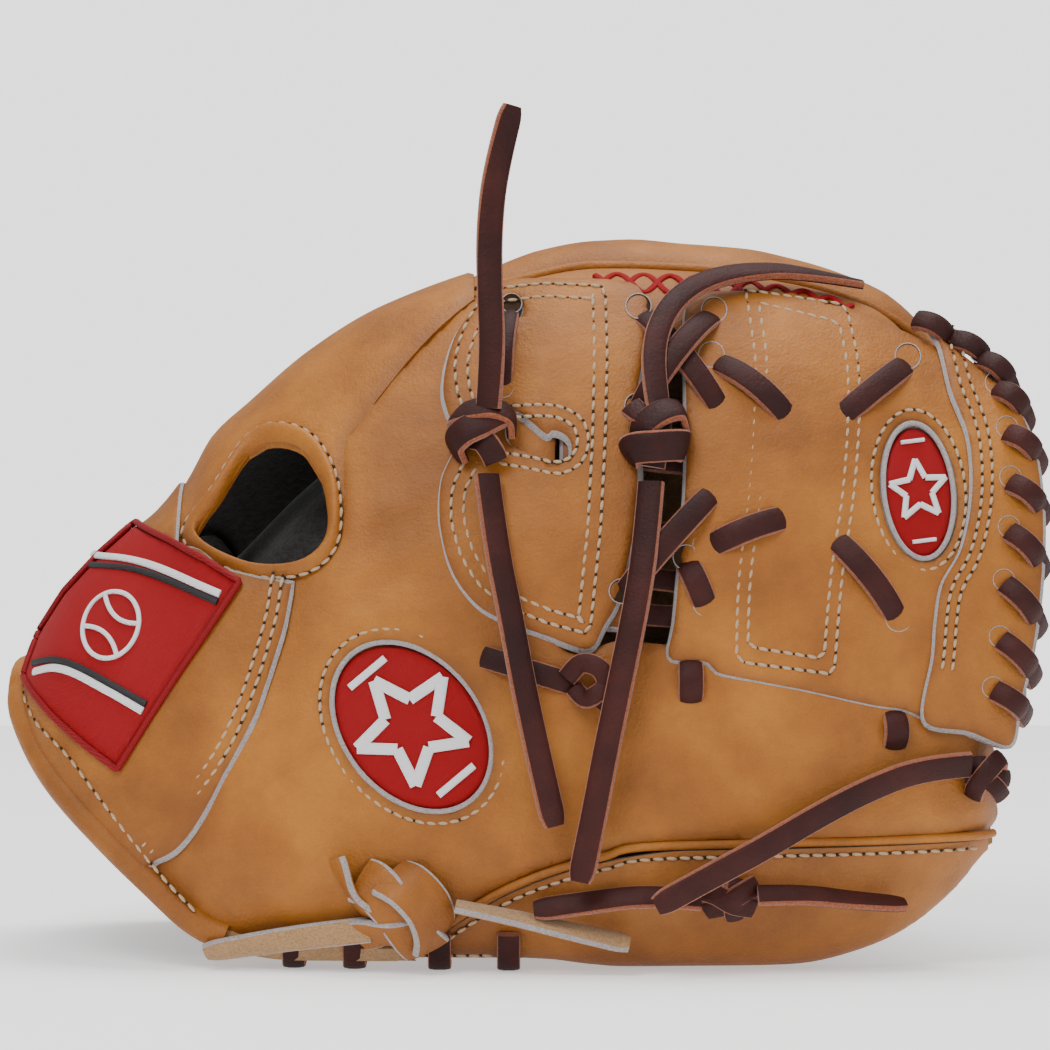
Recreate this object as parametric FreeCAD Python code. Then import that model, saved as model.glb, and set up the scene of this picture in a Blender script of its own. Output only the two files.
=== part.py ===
import FreeCAD, Part
import math
import os

# A 12 inch pitcher's baseball glove, standing on its thumb and its little-finger side
# with the pocket facing down. +Z is up, +X is the way the fingers point, and -Y is the
# thumb side. All lengths are millimetres, all angles degrees.
#
# The leather follows one dome: an arch across the glove at each station x. A place on it
# is (x, s, depth): s runs from 0 at the thumb-side foot over the top (0.5) to 1 at the
# little-finger foot, and depth goes inward from the back leather towards the palm.

# ---- driving dimensions -------------------------------------------------------------
LEATHER = 2.4            # thickness of the shell leather
LINING = 1.5             # thickness of the soft inner leather
GAP = 0.35               # air between leather pieces that lie on each other
SEWN_GAP = 0.9           # the same under a piece that is sewn on top
LACE_WIDTH = 7.4
LACE_THICK = 2.4
RIM_LACE_WIDTH = 6.4
FOOT_LACE_WIDTH = 6.6
FOOT_LACE_THICK = 2.2
TAIL_DIAMETER = 5.0      # a free lace end, as the round tube that stands for it
CAP_THICK = 2.0          # leather along the rim of the web
RIM_LACE_RISE = 7.4      # middle of a rim lace's ends, above the dome
PATCH_THICK = 1.0
WRIST_PATCH_THICK = 1.4
PILE_THICK = 4.5         # soft pile behind the wrist strap
STALL_WALL = 3.2         # padded lining of a finger
HOLE_ROLL = 3.2          # radius of the rolled edge around the opening in the back
WRIST_ROLL = 3.4         # and of the one around the wrist opening
WELT_RADIUS = 1.2        # piped seam between two fingers
ARCH_POWER = 0.7         # how square the arch is
FOOT_TUCK = 12.0         # how far the thumb curls under at its foot
INNER_TUCK = 4.0         # and how far the palm leather comes to meet it
TUCK_SHARE = 0.18        # share of the arch height that curls under
FOOT_ROUND = 0.035       # the s over which a foot is rounded
HINGE_GAP = 2.6          # clearance beside the two fold lines
FOLD_GAP = 1.2           # clearance along X where a folding side begins
SEAM = 0.004             # half of a seam's width, as a share of the arch
FOLD_SEAM = 0.006        # the same beside the seam that opens

# layers of the palm, as distances outside the palm arch
FELT_NEAR, FELT_FAR = 2.7, 8.6
PALM_LINING_NEAR = 8.9
HEEL_PAD_NEAR, HEEL_PAD_FAR = 10.9, 18.0

# height of the arch's top above the floor, by station
TOP = [(-143, 75), (-136, 88), (-127, 102), (-116, 112), (-105, 120), (-96, 131),
       (-88, 145), (-78, 154), (-61, 168), (-39, 181), (-1, 195), (21, 199), (49, 198),
       (76, 194), (95, 188), (108, 181.5), (120, 175), (150, 160)]
# height of the thumb-side and little-finger-side feet
THUMB_FOOT = [(-143, 69), (-133, 51), (-116, 33), (-103, 21), (-86, 7), (-64, 2.6),
              (-28, 2.6), (2, 2.6), (28, 0), (75, 0.5), (95, 5), (108, 11), (117, 18),
              (127, 27), (133, 40), (150, 60)]
PINKY_FOOT = [(-143, 69), (-133, 51), (-116, 33), (-103, 21), (-86, 7), (-60, 2.6),
              (-20, 0.5), (15, 0.5), (45, 12), (75, 35), (100, 62), (130, 95), (150, 110)]
# how far the arch reaches to each side
THUMB_REACH = [(-143, -16), (-136, -36), (-127, -47), (-116, -55), (-105, -60),
               (-86, -67), (-60, -73), (-20, -78), (30, -80), (60, -79), (90, -75),
               (115, -68), (132, -62), (150, -55)]
PINKY_REACH = [(-143, 20), (-136, 40), (-127, 50), (-116, 57), (-105, 61), (-86, 66),
               (-60, 71), (-20, 77), (20, 82), (60, 82), (90, 78), (115, 68), (150, 50)]
# distance from the back leather to the palm leather, on top and at the sides
TOP_DEPTH = [(-143, 16), (-116, 40), (-95, 50), (-60, 46), (-20, 36), (20, 30),
             (100, 28), (125, 24), (150, 20)]
SIDE_DEPTH = [(-143, 10), (-116, 28), (-95, 34), (-60, 34), (0, 31), (60, 30),
              (110, 27), (132, 22), (150, 20)]

# the two fold lines run along X
THUMB_AXIS_Y, THUMB_AXIS_Z = -30.0, 140.0
PINKY_AXIS_Y, PINKY_AXIS_Z = 14.0, 160.0
THUMB_FOLD_X = -54.0     # the thumb side begins here, the heel stays with the wrist
PINKY_FOLD_X = -30.0     # the little-finger side begins here
WEB_LEFT = 8.0
HEEL_X = -85.0           # heel edge of the palm
WRIST_END = -141.0       # end of the strap

# finger borders on the arch
INDEX_END, MIDDLE_END, RING_END, PINKY_END = 0.455, 0.545, 0.64, 0.80
INDEX_TIP, MIDDLE_TIP, RING_TIP, PINKY_TIP = 119.0, 124.0, 112.0, 92.0
KNUCKLE_X = -14.0
FINGER_INSET = 1.8       # the finger leather lies this far inside the dome
TIP_LENGTH = 18.0        # the part of a finger that turns in towards its tip
TIP_CURL = 13.0          # and how far it turns in

STALL_START = KNUCKLE_X + 6
REACH = 130.0            # farther to each side than any leather

V = FreeCAD.Vector


# ---- numbers along a curve ----------------------------------------------------------
def along(table, x):
    """Value of a station table at x, with smooth monotone steps between its rows."""
    if x <= table[0][0]:
        return table[0][1]
    if x >= table[-1][0]:
        return table[-1][1]
    slopes = [(b[1] - a[1]) / (b[0] - a[0]) for a, b in zip(table, table[1:])]
    i = max(k for k in range(len(slopes)) if table[k][0] <= x)

    def tangent(k):
        if k == 0:
            return slopes[0]
        if k == len(slopes):
            return slopes[-1]
        if slopes[k - 1] * slopes[k] <= 0:
            return 0.0
        return 2.0 * slopes[k - 1] * slopes[k] / (slopes[k - 1] + slopes[k])

    x0, y0 = table[i]
    x1, y1 = table[i + 1]
    span = x1 - x0
    t = (x - x0) / span
    return ((1 + 2 * t) * (1 - t) ** 2 * y0 + t * (1 - t) ** 2 * span * tangent(i)
            + t * t * (3 - 2 * t) * y1 + t * t * (t - 1) * span * tangent(i + 1))


def spread(start, stop, count):
    """Evenly spaced values, both ends included."""
    return [start + (stop - start) * k / (count - 1) for k in range(count)]


# ---- the dome -----------------------------------------------------------------------
def arch(x, s, depth_share):
    """Point on the outer arch (share 0) or on the palm arch (share 1)."""
    angle = math.pi / 2 * (1 - math.cos(math.pi * s))
    rise = math.sin(angle) ** ARCH_POWER if 0 < s < 1 else 0.0
    lean = math.cos(angle)
    foot = along(PINKY_FOOT, x) + (along(THUMB_FOOT, x) - along(PINKY_FOOT, x)) * (1 + lean) / 2
    top = along(TOP, x) - depth_share * along(TOP_DEPTH, x)
    left = along(THUMB_REACH, x) + depth_share * along(SIDE_DEPTH, x)
    right = along(PINKY_REACH, x) - depth_share * along(SIDE_DEPTH, x)
    curl = max(0.0, 1 - rise / TUCK_SHARE) ** 2 * min(1.0, max(0.2, (x + 116) / 50.0))
    tuck = FOOT_TUCK * (1 - depth_share) - INNER_TUCK * depth_share
    y = (left + right) / 2 - (right - left) / 2 * lean + tuck * curl * math.copysign(1, lean)
    return V(x, y, foot + (top - foot) * rise)


def place(x, s, depth):
    """Point that lies depth millimetres inside the outer arch."""
    outer = arch(x, s, 0.0)
    inward = arch(x, s, 1.0) - outer
    return outer + inward * (depth / inward.Length)


def full_depth(x, s):
    return (arch(x, s, 1.0) - arch(x, s, 0.0)).Length


def thumb_side_s(x, z, share=0.0):
    """The s of height z on the thumb side of the outer (or palm) arch."""
    low, high = 0.0, 0.5
    for _ in range(30):
        middle = (low + high) / 2
        if arch(x, middle, share).z < z:
            low = middle
        else:
            high = middle
    return (low + high) / 2


def front(x, z, depth):
    """Point seen at (x, z) from the thumb side, depth millimetres inside the skin."""
    return place(x, thumb_side_s(x, z), depth)


# ---- solids -------------------------------------------------------------------------
def edge_wall(near, far):
    """Ruled face between two edge curves, without a twist."""
    turned = far.copy()
    turned.reverse()
    walls = [Part.makeRuledSurface(near.toShape(), curve.toShape()) for curve in (far, turned)]
    return min(walls, key=lambda wall: wall.Area)


def slab(outer, inner):
    """Solid between two grids of points."""
    near = Part.BSplineSurface()
    near.interpolate(outer)
    far = Part.BSplineSurface()
    far.interpolate(inner)
    faces = [near.toShape(), far.toShape()]
    u0, u1, v0, v1 = near.bounds()
    faces += [edge_wall(near.uIso(u), far.uIso(u)) for u in (u0, u1)]
    faces += [edge_wall(near.vIso(v), far.vIso(v)) for v in (v0, v1)]
    shell = Part.makeShell(faces)
    shell.sewShape()
    solid = Part.makeSolid(shell)
    if solid.Volume < 0:
        solid.reverse()
    return solid


def layer(xs, ss, depth0, depth1):
    """Slab of the dome between two depths; a depth may be a function of (x, s)."""
    def depth_at(depth, x, s):
        return depth(x, s) if callable(depth) else depth
    outer = [[place(x, s, depth_at(depth0, x, s)) for s in ss] for x in xs]
    inner = [[place(x, s, depth_at(depth1, x, s)) for s in ss] for x in xs]
    return slab(outer, inner)


def front_layer(x0, x1, z0, z1, depth0, depth1):
    """Slab of the thumb-side face between two heights."""
    xs = spread(x0, x1, max(5, int((x1 - x0) / 13)))
    zs = spread(z0, z1, max(5, int((z1 - z0) / 13)))
    outer = [[front(x, z, depth0) for z in zs] for x in xs]
    inner = [[front(x, z, depth1) for z in zs] for x in xs]
    return slab(outer, inner)


def prism(outline, y0=-REACH, y1=0.0):
    """Solid with an (x, z) outline that runs along Y."""
    points = [V(x, y0, z) for x, z in outline]
    wire = Part.makePolygon(points + [points[0]])
    return Part.Face(wire).extrude(V(0, y1 - y0, 0))


def smooth_prism(points):
    """Prism through the thumb side, with a closed smooth outline through its points."""
    curve = Part.BSplineCurve()
    curve.interpolate([V(x, -REACH, z) for x, z in points], PeriodicFlag=True)
    return Part.Face(Part.Wire(curve.toShape())).extrude(V(0, REACH, 0))


def oval_prism(x, z, long_radius, short_radius, tilt):
    """Prism with an oval outline whose long axis is turned by tilt from +X."""
    steps = 16
    cosine = math.cos(math.radians(tilt))
    sine = math.sin(math.radians(tilt))
    points = []
    for k in range(steps):
        turn = 2 * math.pi * k / steps
        lengthwise = long_radius * math.cos(turn)
        across = short_radius * math.sin(turn)
        points.append((x + lengthwise * cosine - across * sine,
                       z + lengthwise * sine + across * cosine))
    return smooth_prism(points)


def box(x0, x1, y0, y1, z0, z1):
    return Part.makeBox(x1 - x0, y1 - y0, z1 - z0, V(x0, y0, z0))


def above_floor(shape):
    """What is left of a piece that stands on the floor, flattened where it rests."""
    return shape.cut(box(-200, 200, -150, 150, -30, 0))


def largest(shape):
    """The biggest solid of a cut, without crumbs."""
    return max(shape.Solids, key=lambda solid: solid.Volume)


def roll(points, radius, core=V(0, 0, 90)):
    """Round roll of leather along a smooth line of points around the dome's core."""
    rings = []
    for k, point in enumerate(points):
        ahead = points[min(k + 1, len(points) - 1)] - points[max(k - 1, 0)]
        ahead.normalize()
        side = ahead.cross(point - V(point.x, core.y, core.z))
        side.normalize()
        face = side.cross(ahead)
        ring = [point + side * (radius * math.cos(turn)) + face * (radius * math.sin(turn))
                for turn in (math.pi / 4 * eighth for eighth in range(8))]
        curve = Part.BSplineCurve()
        curve.interpolate(ring, PeriodicFlag=True)
        rings.append(Part.Wire(curve.toShape()))
    return Part.makeLoft(rings, True, False)


def ribbon(points, outward, width=LACE_WIDTH, thick=LACE_THICK):
    """Flat lace along points; outward gives its face direction at each point."""
    rings = []
    for k, point in enumerate(points):
        ahead = points[min(k + 1, len(points) - 1)] - points[max(k - 1, 0)]
        ahead.normalize()
        side = ahead.cross(outward[k])
        side.normalize()
        face = side.cross(ahead)
        corners = [point + side * (a * width / 2) + face * (b * thick / 2)
                   for a, b in ((-1, -1), (1, -1), (1, 1), (-1, 1))]
        rings.append(Part.makePolygon(corners + [corners[0]]))
    return Part.makeLoft(rings, True, False)


def outward_at(x, z):
    """Direction that faces away from the leather at (x, z) on the thumb side."""
    along_x = front(x + 1, z, 0) - front(x - 1, z, 0)
    along_z = front(x, z + 1, 0) - front(x, z - 1, 0)
    normal = along_x.cross(along_z)
    normal.normalize()
    return normal


def front_lace(stops, height, bow=0.0):
    """Lace lying on the thumb-side face from stop to stop, height above the skin."""
    (xa, za), (xb, zb) = stops
    points, faces = [], []
    for t in spread(0.0, 1.0, 5):
        x = xa + (xb - xa) * t
        z = za + (zb - za) * t
        normal = outward_at(x, z)
        points.append(front(x, z, 0) + normal * (height + bow * math.sin(math.pi * t)))
        faces.append(normal)
    return ribbon(points, faces)


def sheet(grid, thickness):
    """Solid on the inner side of a grid of skin points, with even thickness."""
    rows, columns = len(grid), len(grid[0])
    inner = []
    for i in range(rows):
        row = []
        for j in range(columns):
            along_i = grid[min(i + 1, rows - 1)][j] - grid[max(i - 1, 0)][j]
            along_j = grid[i][min(j + 1, columns - 1)] - grid[i][max(j - 1, 0)]
            normal = along_i.cross(along_j)
            normal.normalize()
            row.append(grid[i][j] + normal * thickness)
        inner.append(row)
    return slab(grid, inner)


def depth_above_palm(distance):
    """Depth function that stays a fixed distance outside the palm arch."""
    return lambda x, s: full_depth(x, s) - distance


# ---- outlines seen from the thumb side, (x, z) ---------------------------------------
STRAP_OUTLINE = [(-150, 20), (-150, 135), (-105, 135), (-105, 118), (-84, 110), (-62.5, 107),
                 (-65, 93), (-72.5, 70), (-82, 52), (-100.5, 29), (-108, 10)]
HOLE_OUTLINE = [(-91, 119), (-84, 130), (-77, 141), (-70, 145), (-61, 143), (-55, 134),
                (-54, 121), (-58, 114), (-66, 111), (-78, 112)]
THUMB_OUTLINE = [(THUMB_FOLD_X, 2), (THUMB_FOLD_X, 100), (-48, 106), (-48, 146),
                 (-32.5, 165), (-16, 180), (1, 168), (WEB_LEFT, 162),
                 (WEB_LEFT, 92), (45, 90), (77, 83.5), (104, 78), (120, 72), (129, 63),
                 (130, 48), (129.5, 38), (40, 37), (22, 34), (8, 30), (-6, 24), (-20, 15),
                 (-31, 2)]
THUMB_WELT = [(-30, 4), (-20, 13), (-6, 22), (8, 28), (22, 32), (40, 35), (130, 36)]
THUMB_TOP = [(WEB_LEFT, 92), (45, 90), (77, 83.5), (104, 78), (120, 72), (129, 63)]
WEB_LOOP = [(-5, 188), (-13.5, 181), (-20, 172), (-23, 159), (-21, 150), (-18, 145.5),
            (-20, 141.5), (-23.5, 133), (-23.5, 120.5), (-20, 108.5), (-13.5, 100),
            (-6, 95.7), (18, 88), (27, 103), (32, 127), (32, 155), (36, 178), (33, 186),
            (27, 188.5), (5, 189)]
WEB_STRAP = [(45.5, 183), (44, 150), (43.5, 131), (40.7, 98.5), (39, 85), (49.5, 85),
             (53, 81.5), (77.5, 76.5), (95, 72.5), (105, 71), (111, 68), (118, 65),
             (134, 61), (137, 72), (141, 88), (143.5, 107), (144, 126), (141.5, 143),
             (135.5, 154), (126, 163), (117, 169), (107, 174), (93, 180), (78, 184),
             (60, 185.5)]
RIM_CAP = [(110, 175), (115.5, 168), (118, 155.5), (123, 142), (123, 128), (120, 114.5),
           (114.5, 105), (112.5, 94.5), (111.5, 85), (109.5, 68), (118, 65), (134, 61),
           (137, 72), (141, 88), (143.5, 107), (144, 126), (141.5, 143), (135.5, 154),
           (126, 163), (117, 170)]
WRIST_PATCH = [(-110, 117), (-78, 104), (-112, 53.5), (-141, 75), (-137, 87), (-129, 99)]
KEYHOLE = [(-4, 148.5), (-2, 151.5), (6, 145.5), (8.5, 146.5), (12, 144.5), (12, 140.5),
           (8, 139), (5, 141), (-3, 144)]
INDEX_LOW = [(-14, 186), (8, 168), (20, 165.6), (100, 165.6), (124, 160)]
RIM_WRAPS = [((109, 179.5), (121, 173)), ((119, 172), (131, 164.5)),
             ((127, 165), (137, 158)), ((131, 157), (140.5, 150.5)),
             ((133.5, 145.5), (143.5, 139)), ((134, 132.5), (144.2, 125)),
             ((133.3, 119.5), (143.5, 110)), ((131.7, 105.5), (142.5, 94)),
             ((130.5, 90.5), (141, 80.5)), ((128.5, 77), (138.5, 70))]
THUMB_OVAL = (-30.5, 68.2, 25.6, 18.7, -50.0)
WEB_OVAL = (108.9, 130.4, 18.1, 9.6, -84.0)


# ---- shell: hand ---------------------------------------------------------------------
def strap_prism(grow=0.0):
    outline = [(x + grow * (x > -149), z + grow * (z < 60)) for x, z in STRAP_OUTLINE]
    return prism(outline, -REACH, REACH)


def wrist_strap():
    xs = [WRIST_END, -139.5, -137, -133.5, -129, -123, -115, -106, -96, -84, -72, -60]
    band = layer(xs, spread(0.004, 0.996, 25), -GAP - LEATHER, -GAP)
    return largest(band.common(strap_prism()))


def strap_lining():
    xs = [-139, -137, -133.5, -129, -123, -115, -106, -96, -84, -74]
    pile = layer(xs, spread(0.03, 0.97, 23), 0.05, PILE_THICK)
    keep = prism([(-150, 20), (-150, 135), (-107, 135), (-107, 114), (-88, 107), (-76, 104),
                  (-82, 79), (-93, 58), (-112, 36), (-120, 20)], -REACH, REACH)
    return largest(pile.common(keep))


def heel_panel(side):
    """Leather between the strap and the thumb (or little finger), under the strap edge."""
    ss = spread(0.006, 0.33, 12)
    if side == "pinky":
        ss = [1 - s for s in reversed(ss)]
    panel = layer(spread(-108, -49.5, 7), ss, 0.0, LEATHER)
    fold = THUMB_FOLD_X - 0.7
    keep = prism([(-112, 0), (-106, 30), (-91, 54), (-81, 72), (-75, 90), (-74, 104),
                  (-62, 106), (-54, 111), (-49.5, 118), (-49.5, 108), (fold, 102.5), (fold, 0)],
                 -REACH, REACH)
    return largest(panel.common(keep))


def hand_back_leather():
    back = layer(spread(-103.5, KNUCKLE_X - 0.4, 9), spread(0.20, PINKY_END - SEAM, 21),
                 0.0, LEATHER)
    back = back.cut(strap_prism(0.5))
    below_seam = [(-110, 0), (-110, 117), (-70, 110), (-54, 112), (-48.7, 119), (-48.7, 149),
                  (-33, 169), (-13, 187.5), (-13, 0)]
    back = back.cut(prism(below_seam))
    back = back.cut(prism([(-110, 0), (-110, 110), (-49, 118.6), (-49, 0)], 0, REACH))
    return largest(back.cut(smooth_prism(HOLE_OUTLINE)))


def hole_binding():
    """Rolled edge around the opening in the back of the hand."""
    curve = Part.BSplineCurve()
    curve.interpolate([V(x, 0, z) for x, z in HOLE_OUTLINE], PeriodicFlag=True)
    first, last = curve.FirstParameter, curve.LastParameter
    points = []
    for share in spread(0.004, 0.996, 29):
        edge = curve.value(first + (last - first) * share)
        points.append(front(edge.x, edge.z, 0.6))
    return roll(points, HOLE_ROLL)


def wrist_binding():
    """Rolled edge of the wrist opening, from the thumb heel round to the other heel."""
    points = [place(x, 0.0, 0.5) for x in spread(-84, -139, 11)]
    points += [place(-141.5, s, 0.5) for s in (0.22, 0.36, 0.5, 0.64, 0.78)]
    points += [place(x, 1.0, 0.5) for x in spread(-139, -84, 11)]
    return roll(points, WRIST_ROLL)


# ---- shell: fingers -------------------------------------------------------------------
def border(value):
    """Border that keeps the same s at every station."""
    return lambda x: value


def finger_low(x):
    return thumb_side_s(x, along(INDEX_LOW, x)) + 0.002


def tip_curl(x, tip):
    """How far the leather of a finger turns in near its tip."""
    share = min(0.985, max(0.0, (x - (tip - TIP_LENGTH)) / TIP_LENGTH))
    return TIP_CURL * (1 - math.sqrt(1 - share * share))


def finger_back(low, high, tip):
    """Back leather of one finger stall between two borders on the arch."""
    xs = spread(KNUCKLE_X, tip - 24, 8) + [tip - 16, tip - 10, tip - 5, tip - 2, tip]
    skin, inside = [], []
    for x in xs:
        s0 = low(x)
        bend = tip_curl(x, tip)
        pinch = 0.012 * bend / TIP_CURL
        ss = spread(s0 + pinch, high - pinch, 7)
        skin.append([place(x, s, bend + FINGER_INSET) for s in ss])
        inside.append([place(x, s, bend + FINGER_INSET + LEATHER) for s in ss])
    return slab(skin, inside)


def stall_ring(x, s0, s1, wall, bend=0.0):
    """Closed ring of a finger stall's lining, wall millimetres inside its room."""
    middle = (s0 + s1) / 2
    reach = (arch(x, s1, 0.5) - arch(x, s0, 0.5)).Length
    width_share = 0.5 - wall / reach
    room = full_depth(x, middle)
    depth_share = 0.5 - (wall + bend / 2) / room
    points = []
    for k in range(12):
        turn = 2 * math.pi * k / 12
        a = math.copysign(abs(math.cos(turn)) ** 0.75, math.cos(turn))
        b = math.copysign(abs(math.sin(turn)) ** 0.75, math.sin(turn))
        s = middle + (s1 - s0) * width_share * a
        share = 0.5 + depth_share * b
        points.append(place(x, s, share * full_depth(x, s)))
    curve = Part.BSplineCurve()
    curve.interpolate(points, PeriodicFlag=True)
    return Part.Wire(curve.toShape())


def finger_stall(low, high, start, tip):
    """Padded lining of a finger: a tube, open to the hand and closed at the tip."""
    skin = LEATHER + LINING + 2 * GAP
    stations = spread(start, tip - 16, 5) + [tip - 8]
    outer = Part.makeLoft([stall_ring(x, low(x), high(x), skin, tip_curl(x, tip))
                           for x in stations], True, False)
    stations = [start - 4] + spread(start + 2, tip - 20, 4) + [tip - 12]
    inner = Part.makeLoft([stall_ring(x, low(x), high(x), skin + STALL_WALL, tip_curl(x, tip))
                           for x in stations], True, False)
    return largest(outer.cut(inner))


def welt(border, start, tip):
    """Piped seam that fills the valley between two finger stalls."""
    points = [place(x, border, 1.2 + tip_curl(x, tip + 8)) for x in spread(start, tip, 8)]
    return roll(points, WELT_RADIUS)


# ---- shell: thumb and palm ------------------------------------------------------------
def thumb_back_leather():
    panel = front_layer(THUMB_FOLD_X - 2, 131, 1.5, 186, 0.0, LEATHER)
    return largest(panel.common(prism(THUMB_OUTLINE)))


def thumb_stall_top(x):
    return thumb_side_s(x, along(THUMB_TOP, x) - 3)


def thumb_welt():
    points = [front(x, along(THUMB_WELT, x) + 1.0, 0.6) for x in spread(-26, 128, 13)]
    return roll(points, WELT_RADIUS, V(0, 40, 30))


def even(points, count):
    """Points spaced evenly along a polyline."""
    lengths = [0.0]
    for a, b in zip(points, points[1:]):
        lengths.append(lengths[-1] + (b - a).Length)
    result = []
    for target in spread(0.0, lengths[-1], count):
        k = min(len(points) - 2, max(i for i in range(len(points)) if lengths[i] <= target))
        share = (target - lengths[k]) / (lengths[k + 1] - lengths[k])
        result.append(points[k] + (points[k + 1] - points[k]) * share)
    return result


def wrap_sheet(x0, x1, side, outer_s, inner_s):
    """Leather that comes down outside, passes under the foot and goes up the pocket."""
    grid = []
    for x in spread(x0, x1, 13):
        outer = [(s, 0.0) for s in spread(outer_s(x), FOOT_ROUND, 20)]
        inner = [(s, 1.0) for s in spread(FOOT_ROUND, inner_s(x), 60)]
        rows = []
        for path, count in ((outer, 6), ([(0.0, 0.2), (0.0, 0.5), (0.0, 0.8)], 3), (inner, 18)):
            if side == "pinky":
                path = [(1 - s, share) for s, share in path]
            rows += even([place(x, s, share * full_depth(x, s)) for s, share in path], count)
        grid.append(rows)
    return sheet(grid, LEATHER if side == "thumb" else -LEATHER)


def thumb_palm_leather():
    def inner_border(x):
        s = thumb_side_s(x, THUMB_AXIS_Z - 9.0, 1.0)
        while arch(x, s, 1.0).y > THUMB_AXIS_Y - HINGE_GAP:
            s -= 0.002
        return s
    leather = wrap_sheet(THUMB_FOLD_X + FOLD_GAP, 129, "thumb",
                         lambda x: thumb_side_s(x, along(THUMB_WELT, x)), inner_border)
    above = [(WEB_LEFT, 160), (WEB_LEFT, 92)] + THUMB_TOP[1:] + [(140, 63), (140, 160)]
    return largest(above_floor(leather).cut(prism(above, -REACH, 20)))


def pinky_palm_leather():
    def inner_border(x):
        s = 0.5
        while arch(x, s, 1.0).y < PINKY_AXIS_Y + HINGE_GAP:
            s += 0.002
        return 1 - s
    leather = wrap_sheet(PINKY_FOLD_X + FOLD_GAP, PINKY_TIP + 6, "pinky",
                         border(1 - PINKY_END - FOLD_SEAM), inner_border)
    return largest(above_floor(leather))


def palm_parts(start, stop, far, near):
    """Layer near the palm, kept between the fold lines beyond the heel."""
    piece = layer(spread(start, stop, 13), spread(0.02, 0.98, 31),
                  depth_above_palm(far), depth_above_palm(near))
    for side in (box(THUMB_FOLD_X, 0, -120, THUMB_AXIS_Y, -5, 200),
                 box(-0.1, 150, -120, THUMB_AXIS_Y + 12.0, -5, THUMB_AXIS_Z - 2.0),
                 box(PINKY_FOLD_X, 150, PINKY_AXIS_Y - 3.0, 120, -5, 200)):
        piece = piece.cut(side)
    return largest(piece)


def palm_leather():
    return palm_parts(HEEL_X, 114, LEATHER, 0.0)


def palm_felt():
    return palm_parts(HEEL_X + 5, KNUCKLE_X + 3, FELT_FAR, FELT_NEAR)


def palm_lining():
    return palm_parts(HEEL_X + 1, KNUCKLE_X + 3, PALM_LINING_NEAR + LINING, PALM_LINING_NEAR)


def heel_sole(side):
    """Leather strip that closes the heel between the outer panel and the palm."""
    grid = []
    fold = THUMB_FOLD_X if side == "thumb" else PINKY_FOLD_X
    for x in spread(HEEL_X + 0.5, fold - 1.0, 7):
        path = [(0.0, share) for share in spread(0.12, 0.86, 6)]
        if side == "pinky":
            path = [(1.0, share) for s, share in path]
        grid.append([place(x, s, share * full_depth(x, s)) for s, share in path])
    return sheet(grid, LEATHER if side == "thumb" else -LEATHER)


def heel_pad(side):
    """Felt roll in the heel, between the hand and the palm leather."""
    ss = spread(0.035, 0.21, 8)
    if side == "pinky":
        ss = [1 - s for s in reversed(ss)]
    fold = THUMB_FOLD_X if side == "thumb" else PINKY_FOLD_X
    return layer(spread(HEEL_X + 5, fold - 3, 6), ss,
                 depth_above_palm(HEEL_PAD_FAR), depth_above_palm(HEEL_PAD_NEAR))


# ---- web ------------------------------------------------------------------------------
WEB_DEPTH = -GAP - LEATHER       # outer face of the web pieces and of the strap
CAP_NEAR = WEB_DEPTH - SEWN_GAP
CAP_FAR = CAP_NEAR - CAP_THICK


def web_piece(outline, depth0, depth1):
    xs = [x for x, z in outline]
    zs = [z for x, z in outline]
    x0, x1 = min(xs) - 2, max(xs) + 1
    low = min(thumb_side_s(x, min(zs) - 2) for x in (x0, x1))
    base = layer(spread(x0, x1, 11), spread(low, 0.49, 13), depth0, depth1)
    return largest(base.common(prism(outline)))


def web_loop():
    piece = web_piece(WEB_LOOP, WEB_DEPTH, -GAP)
    return largest(piece.cut(smooth_prism(KEYHOLE)))


def web_lining(x0, x1):
    """Pocket-side layer of a web piece, inside the opening between thumb and index."""
    base = front_layer(x0, x1, 66, 163.5, 0.3, 0.3 + LEATHER)
    floor = [(0, 50)] + [(x, z + 2.5) for x, z in THUMB_TOP] + [(150, 66), (150, 50)]
    edge = [(137, 50), (139, 107), (140, 126), (136, 143), (129, 156), (120, 164), (150, 170),
            (150, 50)]
    return largest(base.cut(prism(floor)).cut(prism(edge)))


def rim_wraps():
    """Lace turns that bind the rim of the web, one solid for each turn."""
    turns = []
    for (x0, z0), (x1, z1) in RIM_WRAPS:
        start = front(x0, z0, 0)
        stop = front(x1, z1, 0)
        normal = outward_at((x0 + x1) / 2, (z0 + z1) / 2)
        points = [start + normal * RIM_LACE_RISE,
                  (start + stop) * 0.5 + normal * (RIM_LACE_RISE + 1.0),
                  stop + normal * RIM_LACE_RISE]
        turns.append(ribbon(points, [normal] * 3, RIM_LACE_WIDTH))
    return Part.makeCompound(turns)


# ---- patches ---------------------------------------------------------------------------
def oval_patch(oval, x0, x1, z0, z1, depth):
    """Oval patch on the thumb side; the x and z range only has to enclose it."""
    cloth = front_layer(x0, x1, z0, z1, depth - PATCH_THICK, depth)
    return largest(cloth.common(oval_prism(*oval)))


def wrist_patch():
    under = WEB_DEPTH - SEWN_GAP
    outer = under - WRIST_PATCH_THICK
    xs = [-140.5, -138.5, -135, -130, -123, -115, -106, -96, -85, -74]
    cloth = layer(xs, spread(0.06, 0.5, 13), outer, under)
    return largest(cloth.common(prism(WRIST_PATCH)))


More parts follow.
